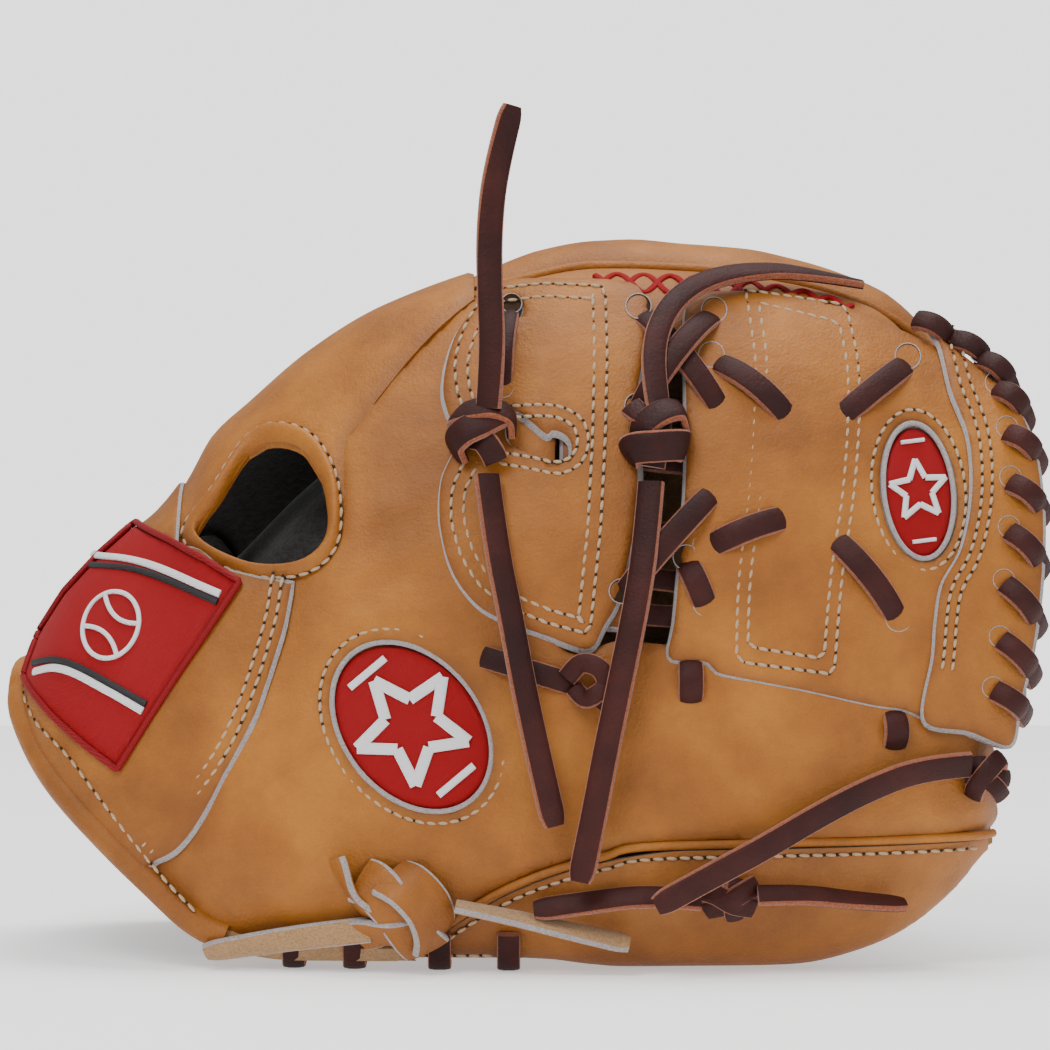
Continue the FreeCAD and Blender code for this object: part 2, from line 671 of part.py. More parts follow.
# ---- laces -----------------------------------------------------------------------------
CROSS_LACES = [((32, 180), (55, 152.5)), ((52.5, 178.5), (31.5, 153.5)),
               ((52, 131.5), (27, 104)), ((44.5, 113), (50, 101))]
STRAP_LACES = [((52, 166.5), (73, 150)), ((106, 165.5), (86, 151)),
               ((50, 117), (72, 125)), ((84, 119.5), (102, 96.5))]
THUMB_LACES = [((45.7, 85.5), (45.7, 75)), ((102, 72), (102, 62))]
LOOP_LACES = [((-3.5, 180), (-5, 158))]
SHORT_LACE = ((-12, 88), (14, 79))
HEEL_WRAPS = (-63.3,)
THUMB_WRAPS = (-46.5, -23.0, -4.0)


def laces(stop_pairs, height, bow=0.6):
    return Part.makeCompound([front_lace(pair, height, bow) for pair in stop_pairs])


def foot_wraps(stations, side):
    """Short lace turns over the bottom edge of the leather."""
    turns = []
    for x in stations:
        path = [(thumb_side_s(x, 12.0), 0.0), (thumb_side_s(x, 8.0), 0.0),
                (thumb_side_s(x, 4.5), 0.0), (0.0, 0.12), (0.0, 0.5), (0.0, 0.8)]
        if side == "pinky":
            path = [(1 - s, share) for s, share in path]
        skin = [place(x, s, share * full_depth(x, s)) for s, share in path]
        out = -1.0 if side == "thumb" else 1.0
        faces = [V(0, out, 0), V(0, out, -0.2), V(0, out, -0.7), V(0, out * 0.3, -1),
                 V(0, 0, -1), V(0, 0, -1)]
        points = [p + V(face).normalize() * 1.32 for p, face in zip(skin, faces)]
        lace = ribbon(points, faces, FOOT_LACE_WIDTH, FOOT_LACE_THICK)
        turns.append(largest(above_floor(lace)))
    return turns


def finger_lace(stations):
    """Lace that ties the finger tips together on the pocket side."""
    points, faces = [], []
    for s in stations:
        x = 101 - 45 * (s - 0.42)
        skin = arch(x, s, 1.0)
        inward = skin - arch(x, s, 0.0)
        inward.normalize()
        points.append(skin + inward * 1.6)
        faces.append(inward)
    return ribbon(points, faces)


def knot(x, z, height, size):
    """Lump of tied lace, seen from the thumb side as an oval of the given size."""
    matrix = FreeCAD.Matrix()
    matrix.scale(size[0] / 2, size[1] / 2, size[2] / 2)
    lump = Part.makeSphere(1.0).transformGeometry(matrix)
    lump.translate(front(x, z, 0) + outward_at(x, z) * height)
    return lump


# Free lace ends: each is a route of points that the tube follows.
TAILS = {
    "loop_tail_up": [(-9.5, -66, 155), (-8.3, -64.5, 170), (-9.2, -61.5, 187),
                     (-9.4, -58, 204), (-7.6, -56, 221), (-3, -55, 238)],
    "loop_tail_down": [(-10, -70.5, 137), (-7.5, -76.5, 118), (-3.5, -81.5, 99),
                       (0, -85, 80), (4.2, -87, 60.5), (8.5, -87.2, 42)],
    "web_tail_up": [(37.5, -67.5, 152), (35.5, -62.5, 164), (36.5, -55, 175.5),
                    (41.5, -47, 184), (50, -40, 189.5), (62, -33.5, 192),
                    (77, -28, 192), (94.5, -20, 188)],
    "web_tail_down": [(35, -72, 135), (33.5, -78, 118), (30.5, -82.5, 100),
                      (26.5, -85.5, 81), (22.5, -87.5, 62), (19, -89, 43.5),
                      (15.5, -90, 27)],
    "corner_tail": [(122.5, -71, 57.5), (109.5, -76, 57), (95, -80.5, 52),
                    (80.5, -84, 44.8), (66, -88, 36.5), (51, -91, 28.8),
                    (36, -91.5, 20.5)],
    "thumb_tail_left": [(48.5, -84.5, 21.5), (34, -85, 23), (18.5, -83.5, 20.8),
                        (3, -81.5, 18.5)],
    "thumb_tail_right": [(64, -84, 22.8), (77, -82.5, 23), (90.5, -79, 20.8),
                         (104.5, -73, 19.2)],
    "heel_tail_left": [(-42, -75.5, 12.5), (-56, -73.5, 10.8), (-71, -70, 8.4),
                       (-87.5, -65.5, 5.2)],
    "heel_tail_right": [(-18.5, -81, 19.5), (-4, -81.5, 16.8), (12.5, -80.5, 12.6),
                        (29, -79.5, 8.8)],
}


def tail(route):
    """Tube of straight runs joined by tangent arcs; returns the solid and its length."""
    points = [V(*p) for p in route]
    edges = []
    here = points[0]
    for before, corner, after in zip(points, points[1:], points[2:]):
        back = (before - corner).normalize()
        ahead = (after - corner).normalize()
        half_turn = (math.pi - back.getAngle(ahead)) / 2
        cut = 0.45 * min((before - corner).Length, (after - corner).Length)
        radius = cut / math.tan(half_turn)
        print("  bend radius %.0f" % radius)
        arc_start = corner + back * cut
        arc_stop = corner + ahead * cut
        bisector = (back + ahead).normalize()
        arc_top = corner + bisector * (radius / math.cos(half_turn) - radius)
        edges.append(Part.LineSegment(here, arc_start).toShape())
        edges.append(Part.Arc(arc_start, arc_top, arc_stop).toShape())
        here = arc_stop
    edges.append(Part.LineSegment(here, points[-1]).toShape())
    path = Part.Wire(edges)
    ring = Part.Wire(Part.makeCircle(TAIL_DIAMETER / 2, points[0], points[1] - points[0]))
    solid = path.makePipeShell([ring], True, False)
    section = math.pi * TAIL_DIAMETER ** 2 / 4
    print("  length %.0f, volume / (section x length) %.3f"
          % (path.Length, solid.Volume / (section * path.Length)))
    return solid


# ---- the whole glove --------------------------------------------------------------------
ORIGIN = V(1.6, -1.85, 0)   # middle of the glove's footprint, on the floor


def hand_nodes():
    """Nodes that stay with the back of the hand."""
    yield "hand_back_leather", hand_back_leather()
    yield "index_back_leather", finger_back(finger_low, INDEX_END - SEAM, INDEX_TIP)
    yield "middle_back_leather", finger_back(border(INDEX_END + SEAM), MIDDLE_END - FOLD_SEAM,
                                             MIDDLE_TIP)
    yield "index_stall", finger_stall(finger_low, border(INDEX_END), STALL_START, INDEX_TIP)
    yield "middle_stall", finger_stall(border(INDEX_END), border(MIDDLE_END - SEAM),
                                       STALL_START, MIDDLE_TIP)
    yield "index_welt", welt(INDEX_END, KNUCKLE_X + 3, INDEX_TIP - 8)
    yield "wrist_strap", wrist_strap()
    yield "strap_lining", strap_lining()
    yield "thumb_heel_leather", heel_panel("thumb")
    yield "pinky_heel_leather", heel_panel("pinky")
    yield "heel_soles", Part.makeCompound([heel_sole("thumb"), heel_sole("pinky")])
    yield "heel_pads", Part.makeCompound([heel_pad("thumb"), heel_pad("pinky")])
    yield "hole_binding", hole_binding()
    yield "wrist_binding", wrist_binding()
    yield "palm_leather", palm_leather()
    yield "palm_felt", palm_felt()
    yield "palm_lining", palm_lining()
    yield "wrist_patch", wrist_patch()
    yield "finger_lace", finger_lace(spread(0.385, MIDDLE_END - 0.02, 6))
    yield "heel_lace", Part.makeCompound(foot_wraps(HEEL_WRAPS, "thumb")
                                         + foot_wraps(HEEL_WRAPS, "pinky"))
    yield "heel_knot", knot(-32.5, 17.5, 6.4, (25, 9, 22))


def thumb_nodes():
    """Nodes that fold in with the thumb and the web."""
    yield "thumb_back_leather", thumb_back_leather()
    yield "thumb_palm_leather", thumb_palm_leather()
    yield "thumb_stall", finger_stall(border(0.02), thumb_stall_top, -24, 127)
    yield "thumb_welt", thumb_welt()
    yield "thumb_patch", oval_patch(THUMB_OVAL, -55, -6, 42, 95, -GAP)
    yield "web_loop", web_loop()
    yield "web_loop_lining", web_lining(10, 34)
    yield "web_strap", web_piece(WEB_STRAP, WEB_DEPTH, -GAP)
    yield "web_strap_lining", web_lining(46, 141)
    yield "web_rim_cap", web_piece(RIM_CAP, CAP_FAR, CAP_NEAR)
    yield "web_patch", oval_patch(WEB_OVAL, 97, 121, 110, 151, WEB_DEPTH - GAP)
    yield "rim_lace", rim_wraps()
    yield "web_cross_lace", laces(CROSS_LACES, 5.6)
    yield "web_strap_lace", laces(STRAP_LACES, 4.4)
    yield "web_thumb_lace", laces(THUMB_LACES, 2.2, 0.0)
    yield "web_loop_lace", laces(LOOP_LACES, 4.4)
    yield "short_lace", Part.makeCompound([front_lace(SHORT_LACE, 1.8),
                                           knot(19, 78, 4.6, (9, 7, 11))])
    yield "thumb_heel_lace", Part.makeCompound(foot_wraps(THUMB_WRAPS, "thumb"))
    yield "loop_knot", knot(-10, 146, 8.5, (17, 9, 19))
    yield "web_knot", knot(36, 144, 9.5, (17, 9, 19))
    yield "corner_knot", knot(126.5, 53.5, 4.6, (8, 7, 13))
    yield "thumb_knot", knot(56.5, 22.5, 4.6, (14, 7, 10))


def pinky_nodes():
    """Nodes that fold in with the ring finger and the little finger."""
    yield "ring_back_leather", finger_back(border(MIDDLE_END + FOLD_SEAM), RING_END - SEAM,
                                           RING_TIP)
    yield "pinky_back_leather", finger_back(border(RING_END + SEAM), PINKY_END - SEAM,
                                            PINKY_TIP)
    yield "ring_stall", finger_stall(border(MIDDLE_END + FOLD_SEAM), border(RING_END),
                                     STALL_START, RING_TIP)
    yield "pinky_stall", finger_stall(border(RING_END), border(PINKY_END), STALL_START,
                                      PINKY_TIP)
    yield "ring_welt", welt(RING_END, KNUCKLE_X + 3, PINKY_TIP - 8)
    yield "pinky_palm_leather", pinky_palm_leather()
    yield "outer_finger_lace", finger_lace(spread(MIDDLE_END + 0.03, 0.72, 6))


def main():
    os.makedirs("parts", exist_ok=True)
    nodes = list(hand_nodes()) + list(thumb_nodes()) + list(pinky_nodes())
    for name, route in TAILS.items():
        print(name)
        nodes.append((name, tail(route)))
    for name, shape in nodes:
        shape.translate(V(0, 0, 0) - ORIGIN)
        shape.exportStep("parts/" + name + ".step")
        box_of = shape.optimalBoundingBox()
        print("%-22s %2d solid  %7.0f mm3  x %6.1f %6.1f  y %6.1f %6.1f  z %6.1f %6.1f" % (
            name, len(shape.Solids), shape.Volume, box_of.XMin, box_of.XMax,
            box_of.YMin, box_of.YMax, box_of.ZMin, box_of.ZMax))


main()
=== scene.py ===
import math

import bpy
import numpy as np
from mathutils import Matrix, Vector
from mathutils.geometry import delaunay_2d_cdt


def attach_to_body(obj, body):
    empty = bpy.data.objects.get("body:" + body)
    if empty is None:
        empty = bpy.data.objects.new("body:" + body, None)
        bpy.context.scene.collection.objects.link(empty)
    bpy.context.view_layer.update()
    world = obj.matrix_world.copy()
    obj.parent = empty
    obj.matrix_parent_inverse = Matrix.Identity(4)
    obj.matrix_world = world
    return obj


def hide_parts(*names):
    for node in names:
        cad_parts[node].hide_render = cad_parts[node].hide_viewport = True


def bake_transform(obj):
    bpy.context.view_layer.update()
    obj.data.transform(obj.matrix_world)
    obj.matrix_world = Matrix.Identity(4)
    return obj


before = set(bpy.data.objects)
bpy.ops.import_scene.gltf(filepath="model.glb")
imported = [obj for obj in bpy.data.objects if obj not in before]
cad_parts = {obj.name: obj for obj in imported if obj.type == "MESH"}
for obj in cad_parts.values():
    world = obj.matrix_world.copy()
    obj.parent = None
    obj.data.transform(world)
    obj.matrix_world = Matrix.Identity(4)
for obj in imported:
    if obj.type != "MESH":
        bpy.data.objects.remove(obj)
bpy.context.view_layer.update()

# A baseball glove: leather panels over a common dome, with a laced web, free lace ends,
# embroidered patches and linings. Its own measures are in millimetres: x along the fingers,
# z up, y away from the camera.
MM = 0.001
ORIGIN = np.array([1.6, -1.85, 0.0])
LEATHER = 2.4
GAP = 0.35
WEB_DEPTH = -GAP - LEATHER
LACE_THICK = 2.2
CAP_THICK = 2.0          # leather along the rim of the web
CAP_DEPTH = WEB_DEPTH - GAP - CAP_THICK
ARCH_POWER = 0.7
FOOT_TUCK = 12.0
INNER_TUCK = 4.0
TUCK_SHARE = 0.18
KNUCKLE_X = -14.0
THUMB_AXIS_Y, THUMB_AXIS_Z, PINKY_AXIS_Y = -30.0, 140.0, 14.0
HINGE_GAP = 2.6          # clearance beside the two fold lines
TIP_LENGTH = 17.0        # the part of a finger or of the palm that turns in at its end
STALL_TIP = 14.0         # the same on the lining of a finger
S_SCALE = 200.0          # millimetres that stand for the whole arch in (x, s) outlines

TOP = [(-143, 75), (-136, 88), (-127, 102), (-116, 112), (-105, 120), (-96, 131),
       (-88, 145), (-78, 154), (-61, 168), (-39, 181), (-1, 195), (21, 199), (49, 198),
       (76, 194), (95, 188), (108, 181.5), (120, 175), (150, 160)]
THUMB_FOOT = [(-143, 69), (-133, 51), (-116, 33), (-103, 21), (-86, 7), (-64, 2.6),
              (-28, 2.6), (2, 2.6), (28, 0), (75, 0.5), (95, 5), (108, 11), (117, 18),
              (127, 27), (133, 40), (150, 60)]
PINKY_FOOT = [(-143, 69), (-133, 51), (-116, 33), (-103, 21), (-86, 7), (-60, 2.6),
              (-20, 0.5), (15, 0.5), (45, 12), (75, 35), (100, 62), (130, 95), (150, 110)]
THUMB_REACH = [(-143, -16), (-136, -36), (-127, -47), (-116, -55), (-105, -60),
               (-86, -67), (-60, -73), (-20, -78), (30, -80), (60, -79), (90, -75),
               (115, -68), (132, -62), (150, -55)]
PINKY_REACH = [(-143, 20), (-136, 40), (-127, 50), (-116, 57), (-105, 61), (-86, 66),
               (-60, 71), (-20, 77), (20, 82), (60, 82), (90, 78), (115, 68), (150, 50)]
TOP_DEPTH = [(-143, 16), (-116, 40), (-95, 50), (-60, 46), (-20, 36), (20, 30),
             (100, 28), (125, 24), (150, 20)]
SIDE_DEPTH = [(-143, 10), (-116, 28), (-95, 34), (-60, 34), (0, 31), (60, 30),
              (110, 27), (132, 22), (150, 20)]


# ---- numbers -------------------------------------------------------------------------
def along(table, x):
    """Values of a station table at x, with smooth monotone steps between its rows."""
    xs, ys = np.array(table, dtype=float).T
    x = np.clip(x, xs[0], xs[-1])
    slopes = np.diff(ys) / np.diff(xs)
    tangents = np.zeros(len(xs))
    tangents[0], tangents[-1] = slopes[0], slopes[-1]
    a, b = slopes[:-1], slopes[1:]
    same = a * b > 0
    tangents[1:-1] = np.where(same, 2 * a * b / np.where(same, a + b, 1), 0)
    i = np.clip(np.searchsorted(xs, x, side="right") - 1, 0, len(slopes) - 1)
    span = xs[i + 1] - xs[i]
    t = (x - xs[i]) / span
    return ((1 + 2 * t) * (1 - t) ** 2 * ys[i] + t * (1 - t) ** 2 * span * tangents[i]
            + t * t * (3 - 2 * t) * ys[i + 1] + t * t * (t - 1) * span * tangents[i + 1])


def arch(x, s, share):
    """Points on the outer arch (share 0) or on the palm arch (share 1), in millimetres."""
    x, s = np.broadcast_arrays(np.asarray(x, dtype=float), np.asarray(s, dtype=float))
    s = np.clip(s, 0.0, 1.0)
    angle = np.pi / 2 * (1 - np.cos(np.pi * s))
    rise = np.clip(np.sin(angle), 0, 1) ** ARCH_POWER
    lean = np.cos(angle)
    pinky_foot = along(PINKY_FOOT, x)
    foot = pinky_foot + (along(THUMB_FOOT, x) - pinky_foot) * (1 + lean) / 2
    top = along(TOP, x) - share * along(TOP_DEPTH, x)
    left = along(THUMB_REACH, x) + share * along(SIDE_DEPTH, x)
    right = along(PINKY_REACH, x) - share * along(SIDE_DEPTH, x)
    curl = np.maximum(0, 1 - rise / TUCK_SHARE) ** 2 * np.clip((x + 116) / 50, 0.2, 1)
    tuck = FOOT_TUCK * (1 - share) - INNER_TUCK * share
    y = (left + right) / 2 - (right - left) / 2 * lean + tuck * curl * np.sign(lean)
    return np.stack([x, y, foot + (top - foot) * rise], axis=-1)


def place(x, s, depth):
    """Points that lie depth millimetres inside the outer arch."""
    outer = arch(x, s, 0.0)
    inward = arch(x, s, 1.0) - outer
    inward /= np.linalg.norm(inward, axis=-1, keepdims=True)
    return outer + inward * np.asarray(depth, dtype=float)[..., None]


def full_depth(x, s):
    return np.linalg.norm(arch(x, s, 1.0) - arch(x, s, 0.0), axis=-1)


def thumb_side_s(x, z):
    """The s of height z on the thumb side of the outer arch."""
    x, z = np.broadcast_arrays(np.asarray(x, dtype=float), np.asarray(z, dtype=float))
    low, high = np.zeros(x.shape), np.full(x.shape, 0.5)
    for _ in range(24):
        middle = (low + high) / 2
        below = arch(x, middle, 0.0)[..., 2] < z
        low = np.where(below, middle, low)
        high = np.where(below, high, middle)
    return (low + high) / 2


def front(x, z, depth=0.0):
    """Points seen at (x, z) from the thumb side, depth millimetres inside the skin."""
    x, z, depth = np.broadcast_arrays(np.asarray(x, dtype=float), np.asarray(z, dtype=float),
                                      np.asarray(depth, dtype=float))
    return place(x, thumb_side_s(x, z), depth)


def on_front(line, depth=0.0):
    """Points of an (x, z) line on the thumb side."""
    return front(line[:, 0], line[:, 1], depth)


def unit(v):
    return v / np.maximum(np.linalg.norm(v, axis=-1, keepdims=True), 1e-9)


def outward(x, z):
    """Directions away from the glove at (x, z) on the thumb side."""
    step = 1.5
    z = np.minimum(z, along(TOP, x) - 9.0)
    dx = front(np.asarray(x) + step, z) - front(np.asarray(x) - step, z)
    dz = front(x, np.asarray(z) + step) - front(x, np.asarray(z) - step)
    n = unit(np.cross(dx, dz))
    return np.where(n[..., 1:2] > 0, -n, n)


# ---- outlines and paths --------------------------------------------------------------
def catmull(points, step=2.0, closed=False):
    """Evenly spaced points on a smooth curve through the given points."""
    p = np.array(points, dtype=float)
    n = len(p)
    runs = []
    for k in range(n if closed else n - 1):
        if closed:
            a, b, c, d = p[k - 1], p[k], p[(k + 1) % n], p[(k + 2) % n]
        else:
            a, b, c, d = p[max(k - 1, 0)], p[k], p[k + 1], p[min(k + 2, n - 1)]
        t = np.linspace(0, 1, 12, endpoint=False)[:, None]
        runs.append(0.5 * (2 * b + (c - a) * t + (2 * a - 5 * b + 4 * c - d) * t ** 2
                           + (3 * b - a - 3 * c + d) * t ** 3))
    line = np.vstack(runs + [p[:1] if closed else p[-1:]])
    return respace(line, step, closed)


def respace(line, step, closed=False):
    gaps = np.linalg.norm(np.diff(line, axis=0), axis=1)
    lengths = np.concatenate([[0], np.cumsum(gaps)])
    count = max(2, int(round(lengths[-1] / step)))
    targets = np.linspace(0, lengths[-1], count + 1)
    if closed:
        targets = targets[:-1]
    return np.stack([np.interp(targets, lengths, line[:, k]) for k in range(line.shape[1])], 1)


def closed_up(loop):
    """The loop with its first point once more at its end."""
    return np.vstack([loop, loop[:1]])


def soften(rows):
    """Pulls every row towards its two neighbours, in place."""
    rows[1:-1] = (rows[:-2] + 2 * rows[1:-1] + rows[2:]) / 4


def offset(line, distance, closed=False):
    """The line moved sideways in its plane; positive is to the left of its direction."""
    line = np.asarray(line, dtype=float)
    if closed:
        ahead = np.roll(line, -1, 0) - np.roll(line, 1, 0)
    else:
        ahead = np.gradient(line, axis=0)
    ahead = unit(ahead)
    return line + distance * np.stack([-ahead[:, 1], ahead[:, 0]], 1)


def inside(points, loop):
    """Which points lie inside a closed outline."""
    x, z = points[:, 0], points[:, 1]
    result = np.zeros(len(points), dtype=bool)
    ax, az = loop[:, 0], loop[:, 1]
    bx, bz = np.roll(ax, -1), np.roll(az, -1)
    for x0, z0, x1, z1 in zip(ax, az, bx, bz):
        if z0 == z1:
            continue
        crosses = (z0 > z) != (z1 > z)
        result ^= crosses & (x < (x1 - x0) * (z - z0) / (z1 - z0) + x0)
    return result


def distance_to(points, line, closed=False):
    """Distance of every point from a line of points."""
    ends = np.roll(line, -1, 0) if closed else line[1:]
    starts = line if closed else line[:-1]
    best = np.full(len(points), 1e9)
    for a, b in zip(starts, ends):
        ab = b - a
        t = np.clip(((points - a) @ ab) / max(ab @ ab, 1e-12), 0, 1)
        best = np.minimum(best, np.linalg.norm(points - a - t[:, None] * ab, axis=1))
    return best


# ---- meshes --------------------------------------------------------------------------
def add_object(name, data):
    obj = bpy.data.objects.new(name, data)
    bpy.context.scene.collection.objects.link(obj)
    return obj


def build(name, points, faces, materials, picks=None, wear_and_seam_shade=None, smooth_angle=50):
    """Mesh object from points in millimetres of the glove's own frame."""
    mesh = bpy.data.meshes.new(name)
    mesh.from_pydata(((np.asarray(points) - ORIGIN) * MM).tolist(), [], [list(f) for f in faces])
    for material in materials:
        mesh.materials.append(material)
    if picks is not None:
        mesh.polygons.foreach_set("material_index", np.asarray(picks, dtype=np.int32))
    mesh.polygons.foreach_set("use_smooth", np.ones(len(faces), dtype=bool))
    attribute = mesh.attributes.new("wear_and_seam_shade", "FLOAT", "POINT")
    attribute.data.foreach_set("value", np.zeros(len(points)) if wear_and_seam_shade is None
                               else np.asarray(wear_and_seam_shade, dtype=np.float32))
    mesh.validate()
    mesh.set_sharp_from_angle(angle=math.radians(smooth_angle))
    mesh.update()
    return add_object(name, mesh)


def quad(base, row, a, b, count):
    """Face between columns a and b of a row and the next one, in rows of count points."""
    low = base + row * count
    return (low + a, low + b, low + count + b, low + count + a)


def boundary_edges(faces):
    seen = {}
    for face in faces:
        for a, b in zip(face, face[1:] + face[:1]):
            key = (min(a, b), max(a, b))
            seen[key] = None if key in seen else (a, b)
    return [edge for edge in seen.values() if edge]


def triangulate(outline, holes, spacing):
    """Triangles that fill an outline, without its holes."""
    loops = [outline] + list(holes)
    flat, edges = [], []
    for loop in loops:
        base = len(flat)
        flat += [Vector(p) for p in loop]
        edges += [(base + k, base + (k + 1) % len(loop)) for k in range(len(loop))]
    low, high = outline.min(0), outline.max(0)
    xs = np.arange(low[0], high[0], spacing)
    zs = np.arange(low[1], high[1], spacing * 0.87)
    gx, gz = np.meshgrid(xs, zs)
    gx = gx + (np.arange(len(zs)) % 2)[:, None] * spacing / 2
    grid = np.stack([gx.ravel(), gz.ravel()], 1)
    keep = inside(grid, outline)
    for hole in holes:
        keep &= ~inside(grid, hole)
    grid = grid[keep]
    for loop in loops:
        grid = grid[distance_to(grid, loop, True) > spacing * 0.55]
    flat += [Vector(p) for p in grid]
    points, _, faces, _, _, _ = delaunay_2d_cdt(flat, edges, [], 0, 1e-5)
    points = np.array([tuple(p) for p in points])
    faces = [tuple(f) for f in faces]
    centres = np.array([points[list(f)].mean(0) for f in faces])
    keep = inside(centres, outline)
    for hole in holes:
        keep &= ~inside(centres, hole)
    return points, [f for f, k in zip(faces, keep) if k]


def inward_of(flat, loops, outline):
    """Unit steps from the cut edges into the leather, and nothing elsewhere."""
    steps = np.zeros(flat.shape)
    for loop in loops:
        x, z = loop.T
        area = np.sum(x * np.roll(z, -1) - np.roll(x, -1) * z)
        left = offset(loop, 1.0, True) - loop
        inward = left if (area > 0) == (loop is outline) else -left
        gaps = np.linalg.norm(flat[:, None] - loop[None], axis=2)
        near = gaps.argmin(1)
        close = gaps.min(1) < 0.05
        steps[close] = inward[near[close]]
    return steps


def panel(name, outline, depth, thick, materials, holes=(), relief=None, spacing=2.4,
          where=front, smooth=True, edge_round=0.7, bevel=0.9):
    """Piece of leather cut to an outline and laid over the dome, with real cut edges."""
    if smooth:
        outline = catmull(outline, spacing * 0.8, True)
    else:
        outline = np.array(outline, dtype=float)
        outline = respace(closed_up(outline), spacing * 0.8, True)
    flat, faces = triangulate(outline, holes, spacing)
    edge = distance_to(flat, outline, True)
    for hole in holes:
        edge = np.minimum(edge, distance_to(flat, hole, True))
    rounding = edge_round * np.clip(1 - edge / 1.6, 0, 1) ** 2
    lift = relief(flat) if relief else 0.0
    inset = flat + inward_of(flat, [outline] + list(holes), outline) * bevel
    top = where(inset[:, 0], inset[:, 1], depth + rounding - lift)
    under = where(flat[:, 0], flat[:, 1], depth + thick - lift)
    count = len(flat)
    middle = where(flat[:, 0], flat[:, 1], depth + thick / 2 - lift)
    normal = unit(top - middle)
    a, b, c = faces[0]
    turned = np.dot(np.cross(top[b] - top[a], top[c] - top[a]), normal[a]) < 0
    if turned:
        faces = [f[::-1] for f in faces]
    rim = boundary_edges([tuple(f) for f in faces])
    walls = [(b, a, a + count, b + count) for a, b in rim]
    back = [tuple(v + count for v in f[::-1]) for f in faces]
    every = faces + back + walls
    inner_side = 2 if len(materials) > 2 else 1
    picks = [0] * len(faces) + [inner_side] * len(back) + [1] * len(walls)
    # darker within 4 mm of the cut edges and holes: partly wear, partly painted shade along the
    # seams
    wear_and_seam_shade = np.concatenate([np.clip(1 - edge / 4.0, 0, 1), np.zeros(count)])
    return build(name, np.vstack([top, under]), every, materials, picks, wear_and_seam_shade, 40)


def bumps(*rows):
    """Relief made of soft swellings (x, z, radius x, radius z, height)."""
    def relief(flat):
        height = np.zeros(len(flat))
        for x, z, rx, rz, rise in rows:
            height += rise * np.exp(-((flat[:, 0] - x) / rx) ** 2 - ((flat[:, 1] - z) / rz) ** 2)
        return height
    return relief


def grid_mesh(name, rows, materials, thick=0.0, closed=False, wear_and_seam_shade=None):
    """Mesh over a grid of points; thick gives it a second side."""
    rows = np.asarray(rows)
    n, m = rows.shape[:2]
    points = rows.reshape(-1, 3)
    across = m if closed else m - 1
    faces = [quad(0, i, j, (j + 1) % m, m) for i in range(n - 1) for j in range(across)]
    picks = [0] * len(faces)
    if thick:
        normals = unit(np.cross(np.gradient(rows, axis=0), np.gradient(rows, axis=1)))
        second = (rows + normals * thick).reshape(-1, 3)
        count = len(points)
        rim = boundary_edges(faces)
        back = [tuple(v + count for v in f[::-1]) for f in faces]
        walls = [(b, a, a + count, b + count) for a, b in rim]
        points = np.vstack([points, second])
        picks += [1] * (len(back) + len(walls))
        faces = faces + back + walls
        if thick < 0:
            faces = [f[::-1] for f in faces]
        if wear_and_seam_shade is not None:
            wear_and_seam_shade = np.concatenate([wear_and_seam_shade, wear_and_seam_shade * 0])
    return build(name, points, faces, materials, picks, wear_and_seam_shade, 60)


def strap_rings(points, facing, width, thick, crown=0.25, twist=None):
    """Rings of a flat lace: crowned faces and two cut edges."""
    points = np.asarray(points, dtype=float)
    facing = np.broadcast_to(np.asarray(facing, dtype=float), points.shape)
    ahead = unit(np.gradient(points, axis=0))
    aside = unit(np.cross(ahead, facing))
    out = unit(np.cross(aside, ahead))
    if twist is not None:
        turn = np.broadcast_to(np.radians(twist), len(points))[:, None]
        aside, out = (aside * np.cos(turn) + out * np.sin(turn),
                      out * np.cos(turn) - aside * np.sin(turn))
    w = np.broadcast_to(np.asarray(width, dtype=float), len(points)) / 2
    t = np.broadcast_to(np.asarray(thick, dtype=float), len(points)) / 2
    profile = [(-1, -0.55), (-1, 0.55), (-0.9, 0.92), (-0.45, 1 + crown * 0.8), (0, 1 + crown),
               (0.45, 1 + crown * 0.8), (0.9, 0.92), (1, 0.55), (1, -0.55), (0.9, -0.95),
               (0, -1), (-0.9, -0.95)]
    rings = [points + aside * (u * w)[:, None] + out * (v * t)[:, None] for u, v in profile]
    return np.stack(rings, 1)


EDGE_SIDES = (0, 1, 6, 7)


def lace_mesh(name, strands, materials):
    """One object from several flat laces, with lighter cut edges."""
    points, faces, picks, wear_and_seam_shade = [], [], [], []
    for rings in strands:
        n, m = rings.shape[:2]
        base = len(points)
        points += rings.reshape(-1, 3).tolist()
        for i in range(n - 1):
            for j in range(m):
                k = (j + 1) % m
                faces.append(quad(base, i, j, k, m))
                picks.append(1 if j in EDGE_SIDES else 0)
        faces.append(tuple(base + j for j in range(m))[::-1])
        faces.append(tuple(base + (n - 1) * m + j for j in range(m)))
        picks += [1, 1]
        wear_and_seam_shade += [0.0] * (n * m)
    return build(name, points, faces, materials, picks, wear_and_seam_shade, 55)


def tube_mesh(name, lines, radius, materials, sides=10):
    """One object from several round rolls that follow lines of points."""
    points, faces = [], []
    for line in lines:
        line = np.asarray(line, dtype=float)
        ahead = unit(np.gradient(line, axis=0))
        aside = unit(np.cross(ahead, np.array([0.1, 0.9, 0.43])))
        out = np.cross(aside, ahead)
        base = len(points)
        for j in range(sides):
            turn = 2 * math.pi * j / sides
            ring = line + aside * (np.cos(turn) * radius) + out * (np.sin(turn) * radius)
            points += ring.tolist()
        n = len(line)
        for j in range(sides):
            k = (j + 1) % sides
            for i in range(n - 1):
                faces.append((base + j * n + i, base + j * n + i + 1,
                              base + k * n + i + 1, base + k * n + i))
        faces.append(tuple(base + j * n for j in range(sides)))
        faces.append(tuple(base + j * n + n - 1 for j in range(sides))[::-1])
    return build(name, points, faces, materials)


